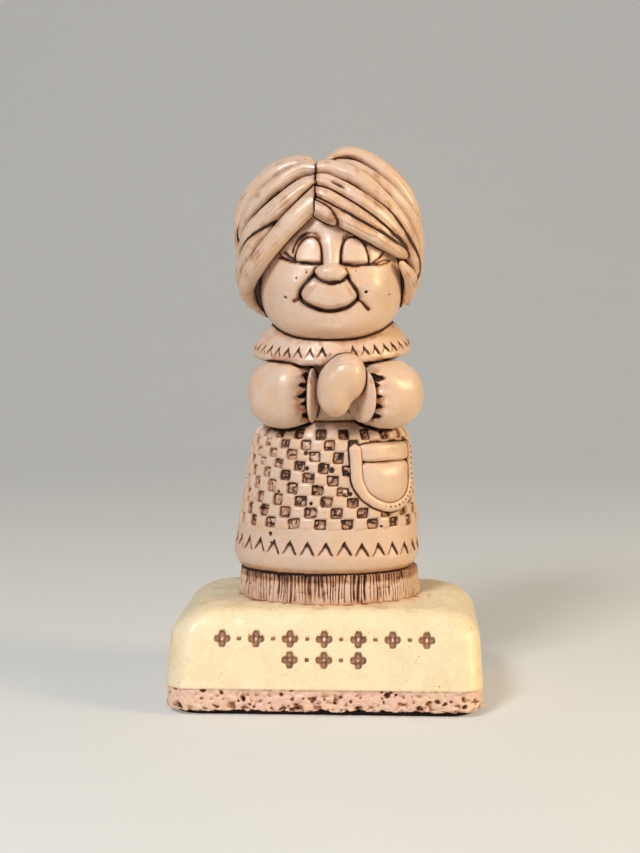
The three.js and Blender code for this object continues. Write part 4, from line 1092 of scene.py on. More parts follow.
def face_relief(x, z, points, sizes):
    """The face as a height over the head: gaussian cheeks and chin, a half-round nose and its ridge, a pillow
    for the upper lip, lids that are domes of a squared circle in gaussian sockets, and grooves along lines
    with a bell section whose width wavers. Gives lift and wash, with painted shade on the upper lip."""
    cheeks = sum(CHEEK_LIFT * mound(x - side * CHEEK_X, z - CHEEK_Z, CHEEK_SPREAD) for side in (-1, 1))
    chin = CHIN_LIFT * mound(x, z - CHIN_Z, CHIN_SPREAD)
    nose = sizes.nose_lift / MM * pillow(x, z - NOSE_Z, NOSE_HALVES, NOSE_FULLNESS)
    ridge = RIDGE_LIFT * bell(x, RIDGE_SPREAD) * smooth(15.5, 6.5, z) * smooth(2.0, 5.0, z)
    lip = LIP_LIFT * pillow(x - LIP_X, z - LIP_Z, LIP_HALVES, LIP_FULLNESS)
    lift = blend_up(cheeks + chin + lip, blend_up(nose, ridge, 0.5), 0.5)
    for side in (-1, 1):
        away = side * x - LID_APEX
        half, bend = lid_side(away)
        above = np.maximum(z - LID_FOOT, 0)
        spread = ((np.abs(away) / half) ** bend + (above / LID_HEIGHT) ** bend) ** (1 / bend)
        dome = np.sqrt(np.maximum(0, 1 - spread**3)) * smooth(LID_FOOT - 0.15, LID_FOOT + 0.25, z)
        socket = SOCKET_DEPTH * mound(side * x - SOCKET_X, z - SOCKET_Z, SOCKET_SPREAD)
        lift = lift - socket + sizes.lid_lift / MM * dome
    wash_and_shade = np.zeros(x.shape)
    waver = 1 + 0.3 * mottle(points, 1.8, 84)
    worn = 0.72 + 0.28 * smooth(-0.5, 0.2, mottle(points, 2.4, 85))
    for line, width, share, stain in face_lines():
        gap = line_distance(x, z, line) / waver
        lift = lift - share * sizes.groove_depth / MM * bell(gap, width)
        core = worn * smooth(1.3 * width, 0.55 * width, gap)
        soft = 0.26 * bell(gap, 2.2 * width + 0.3)
        wash_and_shade = np.maximum(wash_and_shade, stain * np.maximum(core, soft))
    for hole_x, hole_z, radius in PINHOLES:
        dot = smooth(1.3 * radius, 0.7 * radius, np.hypot(x - hole_x, z - hole_z))
        lift = lift - 0.5 * dot
        wash_and_shade = np.maximum(wash_and_shade, dot)
    return lift, wash_and_shade


def head(sizes):
    """A full ball, deeper above the cheeks than below and drawn forward at the chin by the square of the
    depth below the cheeks. Its columns gather at the front as a - g sin a; the face is pushed out along the
    normals of its front."""
    face_rows, crown_rows, columns = HEAD_GRID
    turn = ring(columns)
    around = turn - FACE_GATHER * np.sin(turn) - np.pi / 2
    rise = np.radians(np.concatenate([np.linspace(-88, 46, face_rows), np.linspace(46, 88, crown_rows)[1:]]))
    points = ball(rise, around, HEAD_HALVES, HEAD_FULLNESS)
    points[..., 2] *= np.where(points[..., 2] < 0, CHIN_DROP / HEAD_HALVES[2], 1)
    points[..., 1] -= CHIN_FORWARD * np.minimum(0, points[..., 2] / CHIN_DROP) ** 2
    points = points + HEAD_MIDDLE
    facing = smooth(0.05, 0.45, -normals(points)[..., 1])
    x, z = points[..., 0] - FACE_X, points[..., 2] - HEAD_MIDDLE[2]
    lift, wash_and_shade = face_relief(x, z, points, sizes)
    holes = bubbles(points, *BUBBLES["head"])
    waves = ripple(points, *WAVES["head"])
    wash_and_shade = np.maximum(facing * wash_and_shade, bubble_wash(holes))
    piece("head", push(points, facing * lift + waves - holes), wash_and_shade, "cream")


# Hair


def hair_cap(sizes):
    """The hair's ball, squared up at the nape, with flutes for the back locks: a valley is a bell at the
    zeros of a cosine of the angle round, swirled a little with height. Strand lines are finer valleys, and
    the parting is a groove with a bell section. In front of the hairline it draws in under the head."""
    rows, columns = HAIR_GRID
    way = directions(rises(rows), ring(columns))
    nape = (1 + way[..., 1:2]) / 2 * np.maximum(0, -way[..., 2:])
    points = fuller(way, 2 + (NAPE_FULLNESS - 2) * nape) * HAIR_HALVES
    angle = np.arctan2(points[..., 1], points[..., 0])
    crown = np.hypot(points[..., 0], points[..., 1]) / HAIR_HALVES[0]
    swirl = angle + BACK_SWIRL * np.cos(angle) * points[..., 2] / HAIR_HALVES[2]
    wave = np.abs(np.cos(swirl * BACK_LOCKS / 2 + 0.3 * mottle(points, 9, 91)))
    valley = bell(wave, 0.17) + 0.35 * (1 - wave)
    strands = np.abs(np.sin(swirl * BACK_STRANDS + 1.2 * mottle(points, 6, 92)))
    line = smooth(0.4, 0.0, strands) * smooth(0.2, 0.6, mottle(points, 5, 93) + 0.45)
    beside = points[..., 0] - PARTING_X - PARTING_SHIFT
    parting = bell(beside, np.where(beside < 0, *PARTING_HALVES)) * smooth(2, 9, points[..., 2])
    parting = parting * smooth(14, 4, points[..., 1])
    flutes = -BACK_LOCK_DEPTH * valley - sizes.strand_depth / MM * line
    shape = crown * flutes + 0.08 * mottle(points, 4, 94) - PARTING_DEPTH * parting
    forward = -points[..., 1] - HAIRLINE_Y - HAIRLINE_LEAN * points[..., 2]
    points = push(points, shape) * (1 - HAIRLINE_TUCK * smooth(-0.5, 1.5, forward))[..., None]
    wash_and_shade = crown * (bell(wave, 0.13) + 0.4 * line) + 0.5 * parting
    # Painted shade where the cap draws in under the head and shows between the locks and the face, darker
    # lower down
    under = (0.5 + 0.16 * smooth(4, -2, points[..., 2])) * smooth(-1.5, -0.2, forward)
    piece("hair_cap", points + HAIR_MIDDLE, np.maximum(wash_and_shade, under), "hair")


def lock_path(name, route, parted):
    """A lock's middle line: a spline over the hair's ball through its route's points, with its end tucked in,
    its start sunk or its first half raised by the lock's own amounts, and drawn out past the parting where
    the parting cuts it."""
    theta, phi = np.radians(np.array(route, float)).T
    way = np.stack([np.cos(phi) * np.sin(theta), -np.cos(phi) * np.cos(theta), np.sin(phi)], -1)
    way = fuller(way, 2 + (NAPE_FULLNESS - 2) * np.maximum(0, -way[:, 2:]))
    knots = way * (HAIR_HALVES + LOCK_LIFT) + HAIR_MIDDLE
    run = np.linspace(0, 1, len(way))[:, None]
    knots -= way * (LOCK_TUCK.get(name, 0) * run**3 + LOCK_SINK.get(name, 0) * (1 - run) ** 3)
    knots += LOCK_RISE.get(name, 0) * way * np.sin(np.pi * np.clip(run / 0.45, 0, 1))
    if parted:
        knots = np.vstack([knots[0] + PARTING_OVERRUN * unit(knots[0] - knots[1]), knots])
    return spline(knots, LOCK_GRID[0])


def rounded(run):
    """The share of a lock's section at a run from a free end: a quarter circle, then 1."""
    return np.sqrt(np.maximum(0, 1 - np.maximum(0, 1 - run / LOCK_ROUND) ** 2))


def lock_strands(turn, run, seed):
    """Strand lines along a lock: valleys at places across its upper side, each with its own strength, sway
    and ends."""
    lines = 0
    for k, place in enumerate(LOCK_STRANDS):
        strength = lattice(np.array([[k, seed, 3]]), 95)[0]
        fade = smooth(0.0, 0.1 + 0.3 * strength, run) * smooth(1.0, 0.45 + 0.5 * strength, run)
        sway = place + 0.12 * np.sin(4 * run + 6 * strength)
        valley = bell(np.cos(turn) - sway, 0.06) * (np.sin(turn) > 0)
        lines = lines + fade * (0.4 + 0.6 * strength) * valley
    return lines


def lock(name, route, widths, height, parted, sizes, seed):
    """A lock: a flattened round section carried along its path. Half width runs from its start or end value
    to its middle value as sin(pi t), free ends round off, a parted start is cut flat at the parting, and
    strand lines are shallow. One lock has a gouge near its start."""
    path = lock_path(name, route, parted)
    along = unit(np.gradient(path, axis=0))
    out = path - HAIR_MIDDLE
    out = unit(out - along * np.sum(out * along, axis=1, keepdims=True))
    across = np.cross(out, along)
    run = np.linspace(0, 1, len(path))[:, None]
    swell = np.sin(np.pi * run)
    start, middle, end = widths
    half = np.where(run < 0.5, start, end) * (1 - swell) + middle * swell
    tall = height * (np.where(run < 0.5, 0.85 if parted else 0.2, 0.45) * (1 - swell) + swell)
    ends = rounded(1 - run) if parted else rounded(1 - run) * rounded(run)
    turn = ring(LOCK_GRID[1])[None]
    beside = np.sign(np.cos(turn)) * np.abs(np.cos(turn)) ** 0.85 * half * (0.12 + 0.88 * ends)
    above = np.sin(turn) * tall * (0.25 + 0.75 * ends)
    points = path[:, None] + across[:, None] * beside[..., None] + out[:, None] * above[..., None]
    lines = lock_strands(turn, run, seed)
    amount = -sizes.strand_depth / MM * lines + ripple(points, *WAVES["lock"])
    if name == GOUGED_LOCK:
        gouge = bell(np.cos(turn) + 0.25, 0.2) * (np.sin(turn) > 0)
        gouge = gouge * smooth(0.07, 0.12, run) * smooth(0.3, 0.2, run)
        amount = amount - GOUGE_DEPTH * gouge
        lines = lines + 2.6 * gouge
    wash_and_shade = 0.3 * lines * smooth(-0.4, 0.4, mottle(points, 2.0, 99))
    wash_and_shade = wash_and_shade + 0.16 * smooth(0.1, 0.8, mottle(points, 2.5, 98))
    points = push(points, amount)
    if parted:
        side = SIDES[name.split("_")[0]]
        bound = np.maximum if side > 0 else np.minimum
        cut = bound(points[..., 0], PARTING_X + side * PARTING_GAP)
        points[..., 0] = np.where(run < 0.3, cut, points[..., 0])
    piece(name, points, wash_and_shade, "hair")


def locks(sizes):
    """All the locks round the face."""
    for seed, (name, settings) in enumerate(LOCKS.items()):
        lock(name, *settings, sizes, seed)


# Bodice, collar and arms


def bodice(sizes):
    """Ovals carried up the trunk, rounding in over the shoulders to the neck as a quarter circle."""
    low, high = BODICE.low[2], BODICE.high[2]
    half = BODICE.half[:2]
    neck = NECK_HALF + 1.0
    round_foot = low + TRUNK_HEIGHT
    quarter = np.linspace(0, np.pi / 2, 24)
    share = np.concatenate([np.ones(24), np.cos(quarter)[1:], np.zeros(5)])
    z = np.concatenate([
        np.linspace(low, round_foot, 24),
        round_foot + SHOULDER_RISE * np.sin(quarter)[1:],
        np.linspace(round_foot + SHOULDER_RISE, high, 6)[1:],
    ])
    angle = ring(200)[None]
    wide = (neck + (half[0] - neck) * share)[:, None]
    deep = (neck + (half[1] - neck) * share)[:, None]
    points = grid(wide * np.cos(angle), FIGURE_Y + deep * np.sin(angle), z[:, None])
    rough = ripple(points, *WAVES["bodice"])
    wash_and_shade = 0.08 + 0.06 * mottle(points, 2.6, 103)
    piece("bodice", push(points, rough), wash_and_shade, "cream")


def collar_profile(count):
    """The collar's section, as distance from its axis and height, at even steps: flat below, a rounded
    upright rim, a steep slope up to its crest, level in to the neck."""
    rim, top = COLLAR_HALF, COLLAR_RIM + COLLAR_RISE
    outline = [
        (NECK_HALF, 0.0),
        (rim - 1.0, 0.0),
        (rim - 0.25, 0.35),
        (rim, 1.0),
        (rim - 0.5 * COLLAR_LEAN, COLLAR_RIM - 0.8),
        (rim - COLLAR_LEAN - 0.3, COLLAR_RIM),
        (rim - 0.45 * (rim - COLLAR_CREST), COLLAR_RIM + 0.4 * COLLAR_RISE),
        (COLLAR_CREST + 0.9, top - 0.35),
        (COLLAR_CREST - 0.6, top),
        (NECK_HALF, top),
    ]
    return evened(np.array(outline + outline[:1]), count, closed=True)


def collar(sizes):
    """A closed profile carried round an oval and tipped forward. A row of notches, each with its own
    strength, is cut into the rim above a plain lip and leaves a space in front."""
    rows, columns = COLLAR_GRID
    profile = collar_profile(rows)
    angle = ring(columns)[None]
    radius = profile[:, :1]
    points = grid(radius * np.cos(angle), radius * COLLAR_DEPTH_RATIO * np.sin(angle), profile[:, 1:])
    z = points[..., 2]
    outer = smooth(COLLAR_HALF - 3.0, COLLAR_HALF - 2.0, np.broadcast_to(radius, z.shape)) * (z > 0.05)
    degrees = np.degrees(np.broadcast_to(angle, z.shape)) + 90
    pitch = 360 / COLLAR_NOTCHES
    front = (degrees + 180) % 360 - 180 - COLLAR_FRONT
    turned = front - np.where(front < 0, *COLLAR_STARTS)
    count = np.round(turned / pitch)
    strength = smooth(5.5, 8, np.abs(front)) * (0.65 + 0.35 * draw(count, 116))
    beside = (turned - count * pitch) / 360 * (2 * np.pi * COLLAR_HALF)
    beside = beside + 0.14 * mottle(points, 1.3, 110)
    half = NOTCH_SHARE * np.pi * COLLAR_HALF / COLLAR_NOTCHES
    up = z - COLLAR_NOTCH_FOOT + 0.25 * mottle(points * [1, 1, 0.05], 2.5, 111)
    cut, stain = notch(beside, up, half, COLLAR_NOTCH_HEIGHT, sizes.notch_depth / MM)
    waves = ripple(points, *WAVES["collar"])
    holes = bubbles(points, *BUBBLES["collar"])
    points = push(points, waves - outer * (cut * strength + holes))
    wash_and_shade = outer * np.maximum(stain * strength, bubble_wash(holes))
    rough = 0.3 * smooth(0.1, 0.7, mottle(points, 1.6, 115))
    wash_and_shade = np.maximum(wash_and_shade, rough * smooth(1.0, 0.3, z) + 0.5 * rough * smooth(COLLAR_RIM, COLLAR_RIM + 2, z))
    points[..., 2] += COLLAR_ROLL * points[..., 0]
    points = tip_forward(points, COLLAR_TILT) + [COLLAR_X, FIGURE_Y, COLLAR_Z]
    piece("collar", points, wash_and_shade, "cream", closed=True)


def wrist(side):
    """The middle of an arm's cuff."""
    return np.array([ARM_X + side * CUFF_SPREAD[side], FIGURE_Y - CUFF_FORWARD, ARM_Z])


def sleeve(name, side, sizes):
    """A full ball about the forearm's axis, squarer toward the wrist. Gathers are short teeth that start at
    the cuff, each with its own length and width and a ragged edge: they are counted up the cuff and
    narrow with the distance from its face."""
    rows, columns = SLEEVE_GRID
    way = directions(rises(rows), ring(columns), pole=0)
    fullness = PUFF + (WRIST_FULLNESS - PUFF) * smooth(0, 0.8, -side * way[..., :1])
    points = fuller(way, fullness) * SLEEVE_HALVES
    place = np.array([ARM_X + side * SLEEVE_SPREAD, FIGURE_Y - SLEEVE_FORWARD, ARM_Z])
    points = swing(points, side * SLEEVE_TURN) + place
    x, y, z = np.moveaxis(swing(points - wrist(side), -side * CUFF_TURN[side]), -1, 0)
    thick, radius = CUFF_HALVES[:2]
    radial = np.hypot(y, z)
    past_rim = np.hypot(np.maximum(side * x, 0), radial - radius)
    before_face = side * x - thick * np.sqrt(np.maximum(0, 1 - (radial / radius) ** 2))
    away = np.where(radial < radius, before_face, past_rim)
    count = np.round(z / GATHER_PITCH)
    cell = np.stack([count, np.full_like(z, side), np.sign(y)], -1)
    own, girth = lattice(cell, 121), lattice(cell, 127)
    beside = z / GATHER_PITCH - count + 0.3 * (own - 0.5) + 0.14 * mottle(points, 1.3, 125)
    reach = GATHER_REACH + GATHER_SPREAD * own**1.5 + 0.4 * mottle(points, 1.2, 128)
    room = (0.34 + 0.24 * girth) * np.clip(1 - away / reach, 0, 1) ** 0.7
    edge = room - np.abs(beside)
    teeth = smooth(-0.04, 0.14, edge) * smooth(reach, 0.6 * reach, away)
    stain = np.maximum(teeth, smooth(0.7, 0.3, away)) * (0.75 + 0.25 * own)
    folds = 0.14 * np.sin(2 * np.pi * z / GATHER_PITCH) * smooth(6, 2, away)
    waves = ripple(points, *WAVES["sleeve"])
    holes = bubbles(points + BUBBLE_SHIFT, *BUBBLES["sleeve"])
    # Painted shade: a faint film darkening the sleeve within a few millimetres of the cuff
    film = 0.36 * smooth(5.0, 1.2, away) * smooth(-0.5, 0.6, mottle(points, 1.4, 126))
    wash_and_shade = np.maximum.reduce([stain, bubble_wash(holes), film])
    points = push(points, waves + folds - sizes.gather_depth / MM * smooth(0.0, 0.2, edge) - holes)
    piece(name, points, wash_and_shade, "cream")


def cuff(name, side):
    """A disc with a round edge across the wrist, its rim a little uneven."""
    rows, columns = CUFF_GRID
    points = ball(rises(rows), ring(columns), CUFF_HALVES, PUFF, pole=0)
    points = push(points, ripple(points, *WAVES["cuff"]))
    wash_and_shade = 0.25 * smooth(0.25, 0.8, mottle(points, 1.8, 133))
    piece(name, swing(points, side * CUFF_TURN[side]) + wrist(side), wash_and_shade, "cream")


def hand(name, side):
    """An upright egg that flows into the other one. An egg's field is its norm less one, in millimetres;
    where the two fields come within the blend of each other the surface is let out by a quarter of the blend
    times the squared share that is left, found by repeating (1 + let out) / norm along each ray. Faint
    wrinkles, a sine across the height, lie over the top of both."""
    rows, columns = HAND_GRID
    way = directions(rises(rows), ring(columns))

    def norm(at, owner):
        return ((np.abs(at - HAND_MIDDLES[owner]) / HAND_HALVES[owner]) ** PUFF).sum(-1) ** (1 / PUFF)

    to_surface = norm(way + HAND_MIDDLES[side], side)
    let_out = np.zeros(to_surface.shape)
    for _ in range(HAND_STEPS):
        points = way * ((1 + let_out / HAND_SCALE) / to_surface)[..., None] + HAND_MIDDLES[side]
        gap = HAND_SCALE * np.abs(norm(points, side) - norm(points, -side))
        let_out = (let_out + HAND_BLEND / 4 * np.maximum(0, 1 - gap / HAND_BLEND) ** 2) / 2
    x, y, z = np.moveaxis(points, -1, 0)
    rise = z - 0.1 * (x - 4) - FINGER_FOOT
    fingers = smooth(0.5, -2.5, y) * smooth(0, 0.8, rise) * smooth(1.5, 3.0, x) * smooth(9.0, 6.5, x)
    bend = np.abs(np.sin(np.pi * rise / FINGER_PITCH + 0.6 * mottle(points, 2.2, 142)))
    crease = fingers * smooth(0.5, 0.0, bend) * smooth(-0.6, 0.4, mottle(points, 1.8, 143))
    points = push(points, 0.12 * mottle(points, 4, 141) - 0.2 * crease)
    points = points + [0, FIGURE_Y - HAND_FORWARD, ARM_Z]
    piece(name, points, 0.3 * crease, "cream")


def arms(sizes):
    """Both arms: sleeve, cuff and hand."""
    for word, side in SIDES.items():
        sleeve(word + "_sleeve", side, sizes)
        cuff(word + "_cuff", side)
        hand(word + "_hand", side)


# Shader nodes


class Wire:
    """A shader socket that takes part in sums: each operator adds one Math node."""

    def __init__(self, tree, socket):
        self.tree = tree
        self.socket = socket

    def math(self, operation, other):
        return node(self.tree, "ShaderNodeMath", {"operation": operation}, {0: self, 1: other})

    def __add__(self, other):
        return self.math("ADD", other)

    def __sub__(self, other):
        return self.math("SUBTRACT", other)

    def __mul__(self, other):
        return self.math("MULTIPLY", other)

    def __gt__(self, other):
        return self.math("GREATER_THAN", other)


def node(tree, kind, settings=None, inputs=None, output=0):
    """Adds a node: its settings first, then a value or a link for each socket. Gives one output."""
    added = tree.nodes.new(kind)
    for key, value in (settings or {}).items():
        setattr(added, key, value)
    for key, value in (inputs or {}).items():
        if isinstance(value, Wire):
            tree.links.new(value.socket, added.inputs[key])
        else:
            added.inputs[key].default_value = value
    return Wire(tree, added.outputs[output])


def mix(tree, share, first, second):
    """Two colours mixed by a share."""
    first = first if isinstance(first, Wire) else (*first, 1)
    second = second if isinstance(second, Wire) else (*second, 1)
    inputs = {0: share, 6: first, 7: second}
    return node(tree, "ShaderNodeMix", {"data_type": "RGBA"}, inputs, output=2)


def noise(tree, place, size, detail):
    """Noise with lumps of a size in millimetres."""
    inputs = {"Vector": place, "Scale": 1 / (size * MM), "Detail": detail, "Roughness": 0.55}
    return node(tree, "ShaderNodeTexNoise", {}, inputs)


def step(tree, value, low, high):
    """A soft step between two values."""
    inputs = {"Value": value, "From Min": low, "From Max": high}
    return node(tree, "ShaderNodeMapRange", {"interpolation_type": "SMOOTHSTEP"}, inputs)


def new_material(name):
    """An empty material with its output, and the piece's own coordinates."""
    material = bpy.data.materials.new(name)
    material.use_nodes = True
    tree = material.node_tree
    tree.nodes.clear()
    place = node(tree, "ShaderNodeTexCoord", output="Object")
    return material, tree, place


def close_material(tree, shader):
    """Ends a material in a shader, or in one principled shader with the given inputs."""
    if isinstance(shader, dict):
        shader = node(tree, "ShaderNodeBsdfPrincipled", {}, shader)
    output = tree.nodes.new("ShaderNodeOutputMaterial")
    tree.links.new(shader.socket, output.inputs["Surface"])


def cast_finish(name, bare, film, colours, base_wash=0.0, shine=0.36, speckle=0.0, foot=None):
    """Cast composition with a wiped brown wash and painted shade: their value, broken up by noise, runs
    through bare, tan, brown and dark; pores and flecks are small cells and peaks of noise; the gloss dulls
    where the value is high. A foot colour takes the place of bare up to the top of the plinth's band."""
    if name in bpy.data.materials:
        return bpy.data.materials[name]
    material, tree, place = new_material(name)
    wash_and_shade = node(tree, "ShaderNodeAttribute", {"attribute_name": "wash_and_shade"}, output="Fac")
    blotch = noise(tree, place, BLOTCH_SIZE, 3)
    patch = noise(tree, place, PATCH_SIZE, 4)
    grain = noise(tree, place, GRAIN_SIZE, 3)
    uneven = (patch - 0.5) * 0.5 + (grain - 0.5) * 0.3
    amount = (wash_and_shade + base_wash) * (uneven * 1.2 + 1) + uneven * 0.12
    if foot:
        rise = node(tree, "ShaderNodeSeparateXYZ", {}, {"Vector": place}, output="Z")
        bare = mix(tree, step(tree, rise, (BAND_TOP + 0.4) * MM, (BAND_TOP - 0.2) * MM), bare, foot)
    body = mix(tree, step(tree, blotch * 0.6 + patch * 0.4, 0.42, 0.62) * 0.6, bare, film)
    for key, (low, high) in WASH_AND_SHADE_STEPS.items():
        body = mix(tree, step(tree, amount, low, high), body, getattr(colours, key))
    cells = {"Vector": place, "Scale": 1 / (PORE_PITCH * MM), "Randomness": 1.0}
    near = node(tree, "ShaderNodeTexVoronoi", {}, cells, output="Distance")
    tint = node(tree, "ShaderNodeTexVoronoi", {}, cells, output="Color")
    pick = node(tree, "ShaderNodeSeparateColor", {}, {"Color": tint})
    hole = step(tree, near, PORE_RADIUS, PORE_CORE) * (pick > 0.8)
    flecks = step(tree, noise(tree, place, FLECK_SIZE, 2), 0.66, 0.74) * speckle
    body = mix(tree, flecks, body, colours.tan)
    body = mix(tree, hole * 0.85, body, colours.dark)
    rough = step(tree, amount, 0.1, 0.7) * 0.28 + (patch - 0.5) * 0.16 + shine
    height = grain * 0.35 + patch * 0.5 - hole * 1.5
    bump = node(tree, "ShaderNodeBump", {}, {"Strength": 0.22, "Distance": 0.25 * MM, "Height": height})
    close_material(tree, {
        "Base Color": body,
        "Roughness": rough,
        "Normal": bump,
        "IOR": 1.5,
        "Coat Weight": 0.16,
        "Coat Roughness": 0.16,
    })
    return material


def cream_finish(colours):
    """The figure's own finish: satin cream."""
    return cast_finish("cast_cream", colours.cream, colours.warm, colours)


def hair_finish(colours):
    """The hair's finish: the same casting with more stain left on it."""
    return cast_finish("cast_hair", colours.cream, colours.warm, colours, base_wash=0.03)


def stained_finish(colours):
    """The petticoat's finish: wash left standing, dull."""
    return cast_finish("cast_stained", colours.cream, colours.warm, colours, shine=0.5)


def stone_finish(colours):
    """The plinth's finish: dull cream with fine flecks."""
    film = tuple(share * c for share, c in zip((0.9, 0.86, 0.78), colours.stone))
    return cast_finish("cast_stone", colours.stone, film, colours, shine=0.52, speckle=0.9, foot=colours.band)


def felt_finish(colours):
    """Felt: matted fibres as a fine noise over a coarse one, no gloss."""
    material, tree, place = new_material("felt")
    fibre = noise(tree, place, 0.5, 5)
    mat = noise(tree, place, 3.0, 2)
    pale = tuple(2.2 * c for c in colours.felt)
    body = mix(tree, fibre * 0.6 + mat * 0.3, colours.felt, pale)
    bump = node(tree, "ShaderNodeBump", {}, {"Strength": 0.6, "Distance": 0.3 * MM, "Height": fibre})
    close_material(tree, {"Base Color": body, "Roughness": fibre * 0.1 + 0.88, "Normal": bump})
    return material


def dowel_finish(colours):
    """Turned wood: grain as bands along the pin, broken up by noise."""
    material, tree, place = new_material("dowel")
    stretched = node(tree, "ShaderNodeMapping", {}, {"Vector": place, "Scale": (1, 1, 0.06)})
    bands = noise(tree, stretched, 0.7, 4)
    dark = tuple(0.55 * c for c in colours.dowel)
    body = mix(tree, step(tree, bands, 0.4, 0.7), colours.dowel, dark)
    bump = node(tree, "ShaderNodeBump", {}, {"Strength": 0.3, "Distance": 0.1 * MM, "Height": bands})
    close_material(tree, {"Base Color": body, "Roughness": bands * 0.2 + 0.5, "Normal": bump})
    return material


def floor_finish(colours):
    """Studio paper: pale and dull, with a faint unevenness, and a share of plain glow where it is seen."""
    material, tree, place = new_material("studio_paper")
    cloud = noise(tree, place, 60.0, 2)
    pale = tuple(min(1, 1.04 * c) for c in colours.floor)
    body = mix(tree, cloud, colours.floor, pale)
    kinds = ("Camera", "Glossy", "Transmission")
    rays = [node(tree, "ShaderNodeLightPath", output=f"Is {kind} Ray") for kind in kinds]
    seen = (rays[0] + rays[1] + rays[2]) * FLOOR_GLOW
    paper = node(tree, "ShaderNodeBsdfPrincipled", {}, {"Base Color": body, "Roughness": cloud * 0.1 + 0.75})
    glow = node(tree, "ShaderNodeEmission", {}, {"Color": (*colours.floor, 1), "Strength": 1.0})
    close_material(tree, node(tree, "ShaderNodeMixShader", {}, {0: seen, 1: paper, 2: glow}))
    return material


FINISHES = {
    "cream": cream_finish,
    "hair": hair_finish,
    "stained": stained_finish,
    "stone": stone_finish,
}


# Seams, where wash gathers and shade is painted: the piece, its neighbours, the strength of wash and painted
# shade, its reach and its film's reach

ARMS = [f"{word}_{part}" for part in ("sleeve", "cuff", "hand") for word in SIDES]
POCKET = ["pocket_trim", "pocket", "pocket_band"]
SEAMS = [
    # The plinth's wide film round the petticoat is a painted contact shadow
    ("plinth", ["petticoat"], 0.5, 0.4, 4.0),
    ("petticoat", ["plinth"], 0.45, 0.4, 1.5),
    ("petticoat", ["dress"], 1.0, 0.7, 1.6),
    ("dress", ["petticoat"], 1.0, 0.9, 3.0),
    ("dress", ["bodice"], 0.5, 0.5, 2.0),
    # Under the sleeves the dress gets a wide dark line of painted shadow
    ("dress", ARMS, 1.0, 1.3, 1.8),
    ("dress", POCKET, 1.0, 0.6, 1.0),
    ("pocket_trim", ["pocket", "pocket_band"], 0.45, 0.5, 1.2),
    ("pocket_trim", ["dress"], 0.9, 0.5, 1.2),
    ("pocket", ["pocket_trim", "pocket_band"], 0.3, 0.4, 1.4),
    ("pocket_band", ["pocket_trim", "pocket"], 0.3, 0.4, 1.4),
    ("bodice", ["dress", "collar", *ARMS], 0.8, 0.8, 3.0),
    ("collar", ["head", "bodice", *ARMS], 1.0, 0.8, 3.5),
    # The head's wide film paints shade on the face's sides beside the hair and collar
    ("head", ["collar", "hair_cap", *LOCKS], 1.0, 0.7, 3.0),
    ("hair_cap", ["head", "collar", *LOCKS], 1.0, 0.8, 3.0),
]
for word in SIDES:
    SEAMS += [
        (f"{word}_sleeve", [f"{word}_cuff", "collar", "dress", "bodice"], 1.0, 1.1, 3.5),
        (f"{word}_cuff", [f"{word}_sleeve", f"{word}_hand", "dress", "bodice"], 0.8, 0.5, 2.0),
        (f"{word}_hand", [f"{word}_cuff", "collar", "dress", "bodice"], 0.8, 0.5, 2.5),
    ]
for name in LOCKS:
    others = [other for other in LOCKS if other != name]
    SEAMS.append((name, ["head", "hair_cap", *others], 1.0, LOCK_SEAM.get(name, LOCK_SEAM_REACH), 2.2))


def distance_group():
    """A node group that stores each point's distance to another object's faces."""
    group = bpy.data.node_groups.new("distance_to_neighbours", "GeometryNodeTree")
    group.interface.new_socket("Geometry", in_out="INPUT", socket_type="NodeSocketGeometry")
    group.interface.new_socket("Neighbours", in_out="INPUT", socket_type="NodeSocketObject")
    group.interface.new_socket("Geometry", in_out="OUTPUT", socket_type="NodeSocketGeometry")
    start = group.nodes.new("NodeGroupInput")
    shape, other = (Wire(group, start.outputs[k]) for k in (0, 1))
    faces = node(group, "GeometryNodeObjectInfo", {}, {"Object": other}, output="Geometry")
    gap = node(group, "GeometryNodeProximity", {"target_element": "FACES"}, {0: faces}, output="Distance")
    stored = {"Geometry": shape, "Name": "gap", "Value": gap}
    kept = node(group, "GeometryNodeStoreNamedAttribute", {}, stored)
    group.links.new(kept.socket, group.nodes.new("NodeGroupOutput").inputs[0])
    return group


def read(data, key, width=1, kind=np.float32):
    """One value, or a few side by side, of every item in a Blender collection, as one flat array."""
    values = np.zeros(len(data) * width, kind)
    data.foreach_get(key, values)
    return values


def neighbour_mesh(names):
    """One throwaway object with the faces of several pieces."""
    corners, faces, count = [], [], 0
    for name in names:
        mesh = made[name].data
        mesh.calc_loop_triangles()
        corners.append(read(mesh.vertices, "co", 3).reshape(-1, 3))
        faces.append(read(mesh.loop_triangles, "vertices", 3, np.int32) + count)
        count += len(mesh.vertices)
    loops = np.concatenate(faces)
    joined = new_mesh("neighbours", np.concatenate(corners), loops, np.arange(0, len(loops), 3))
    return new_object("neighbours", joined)


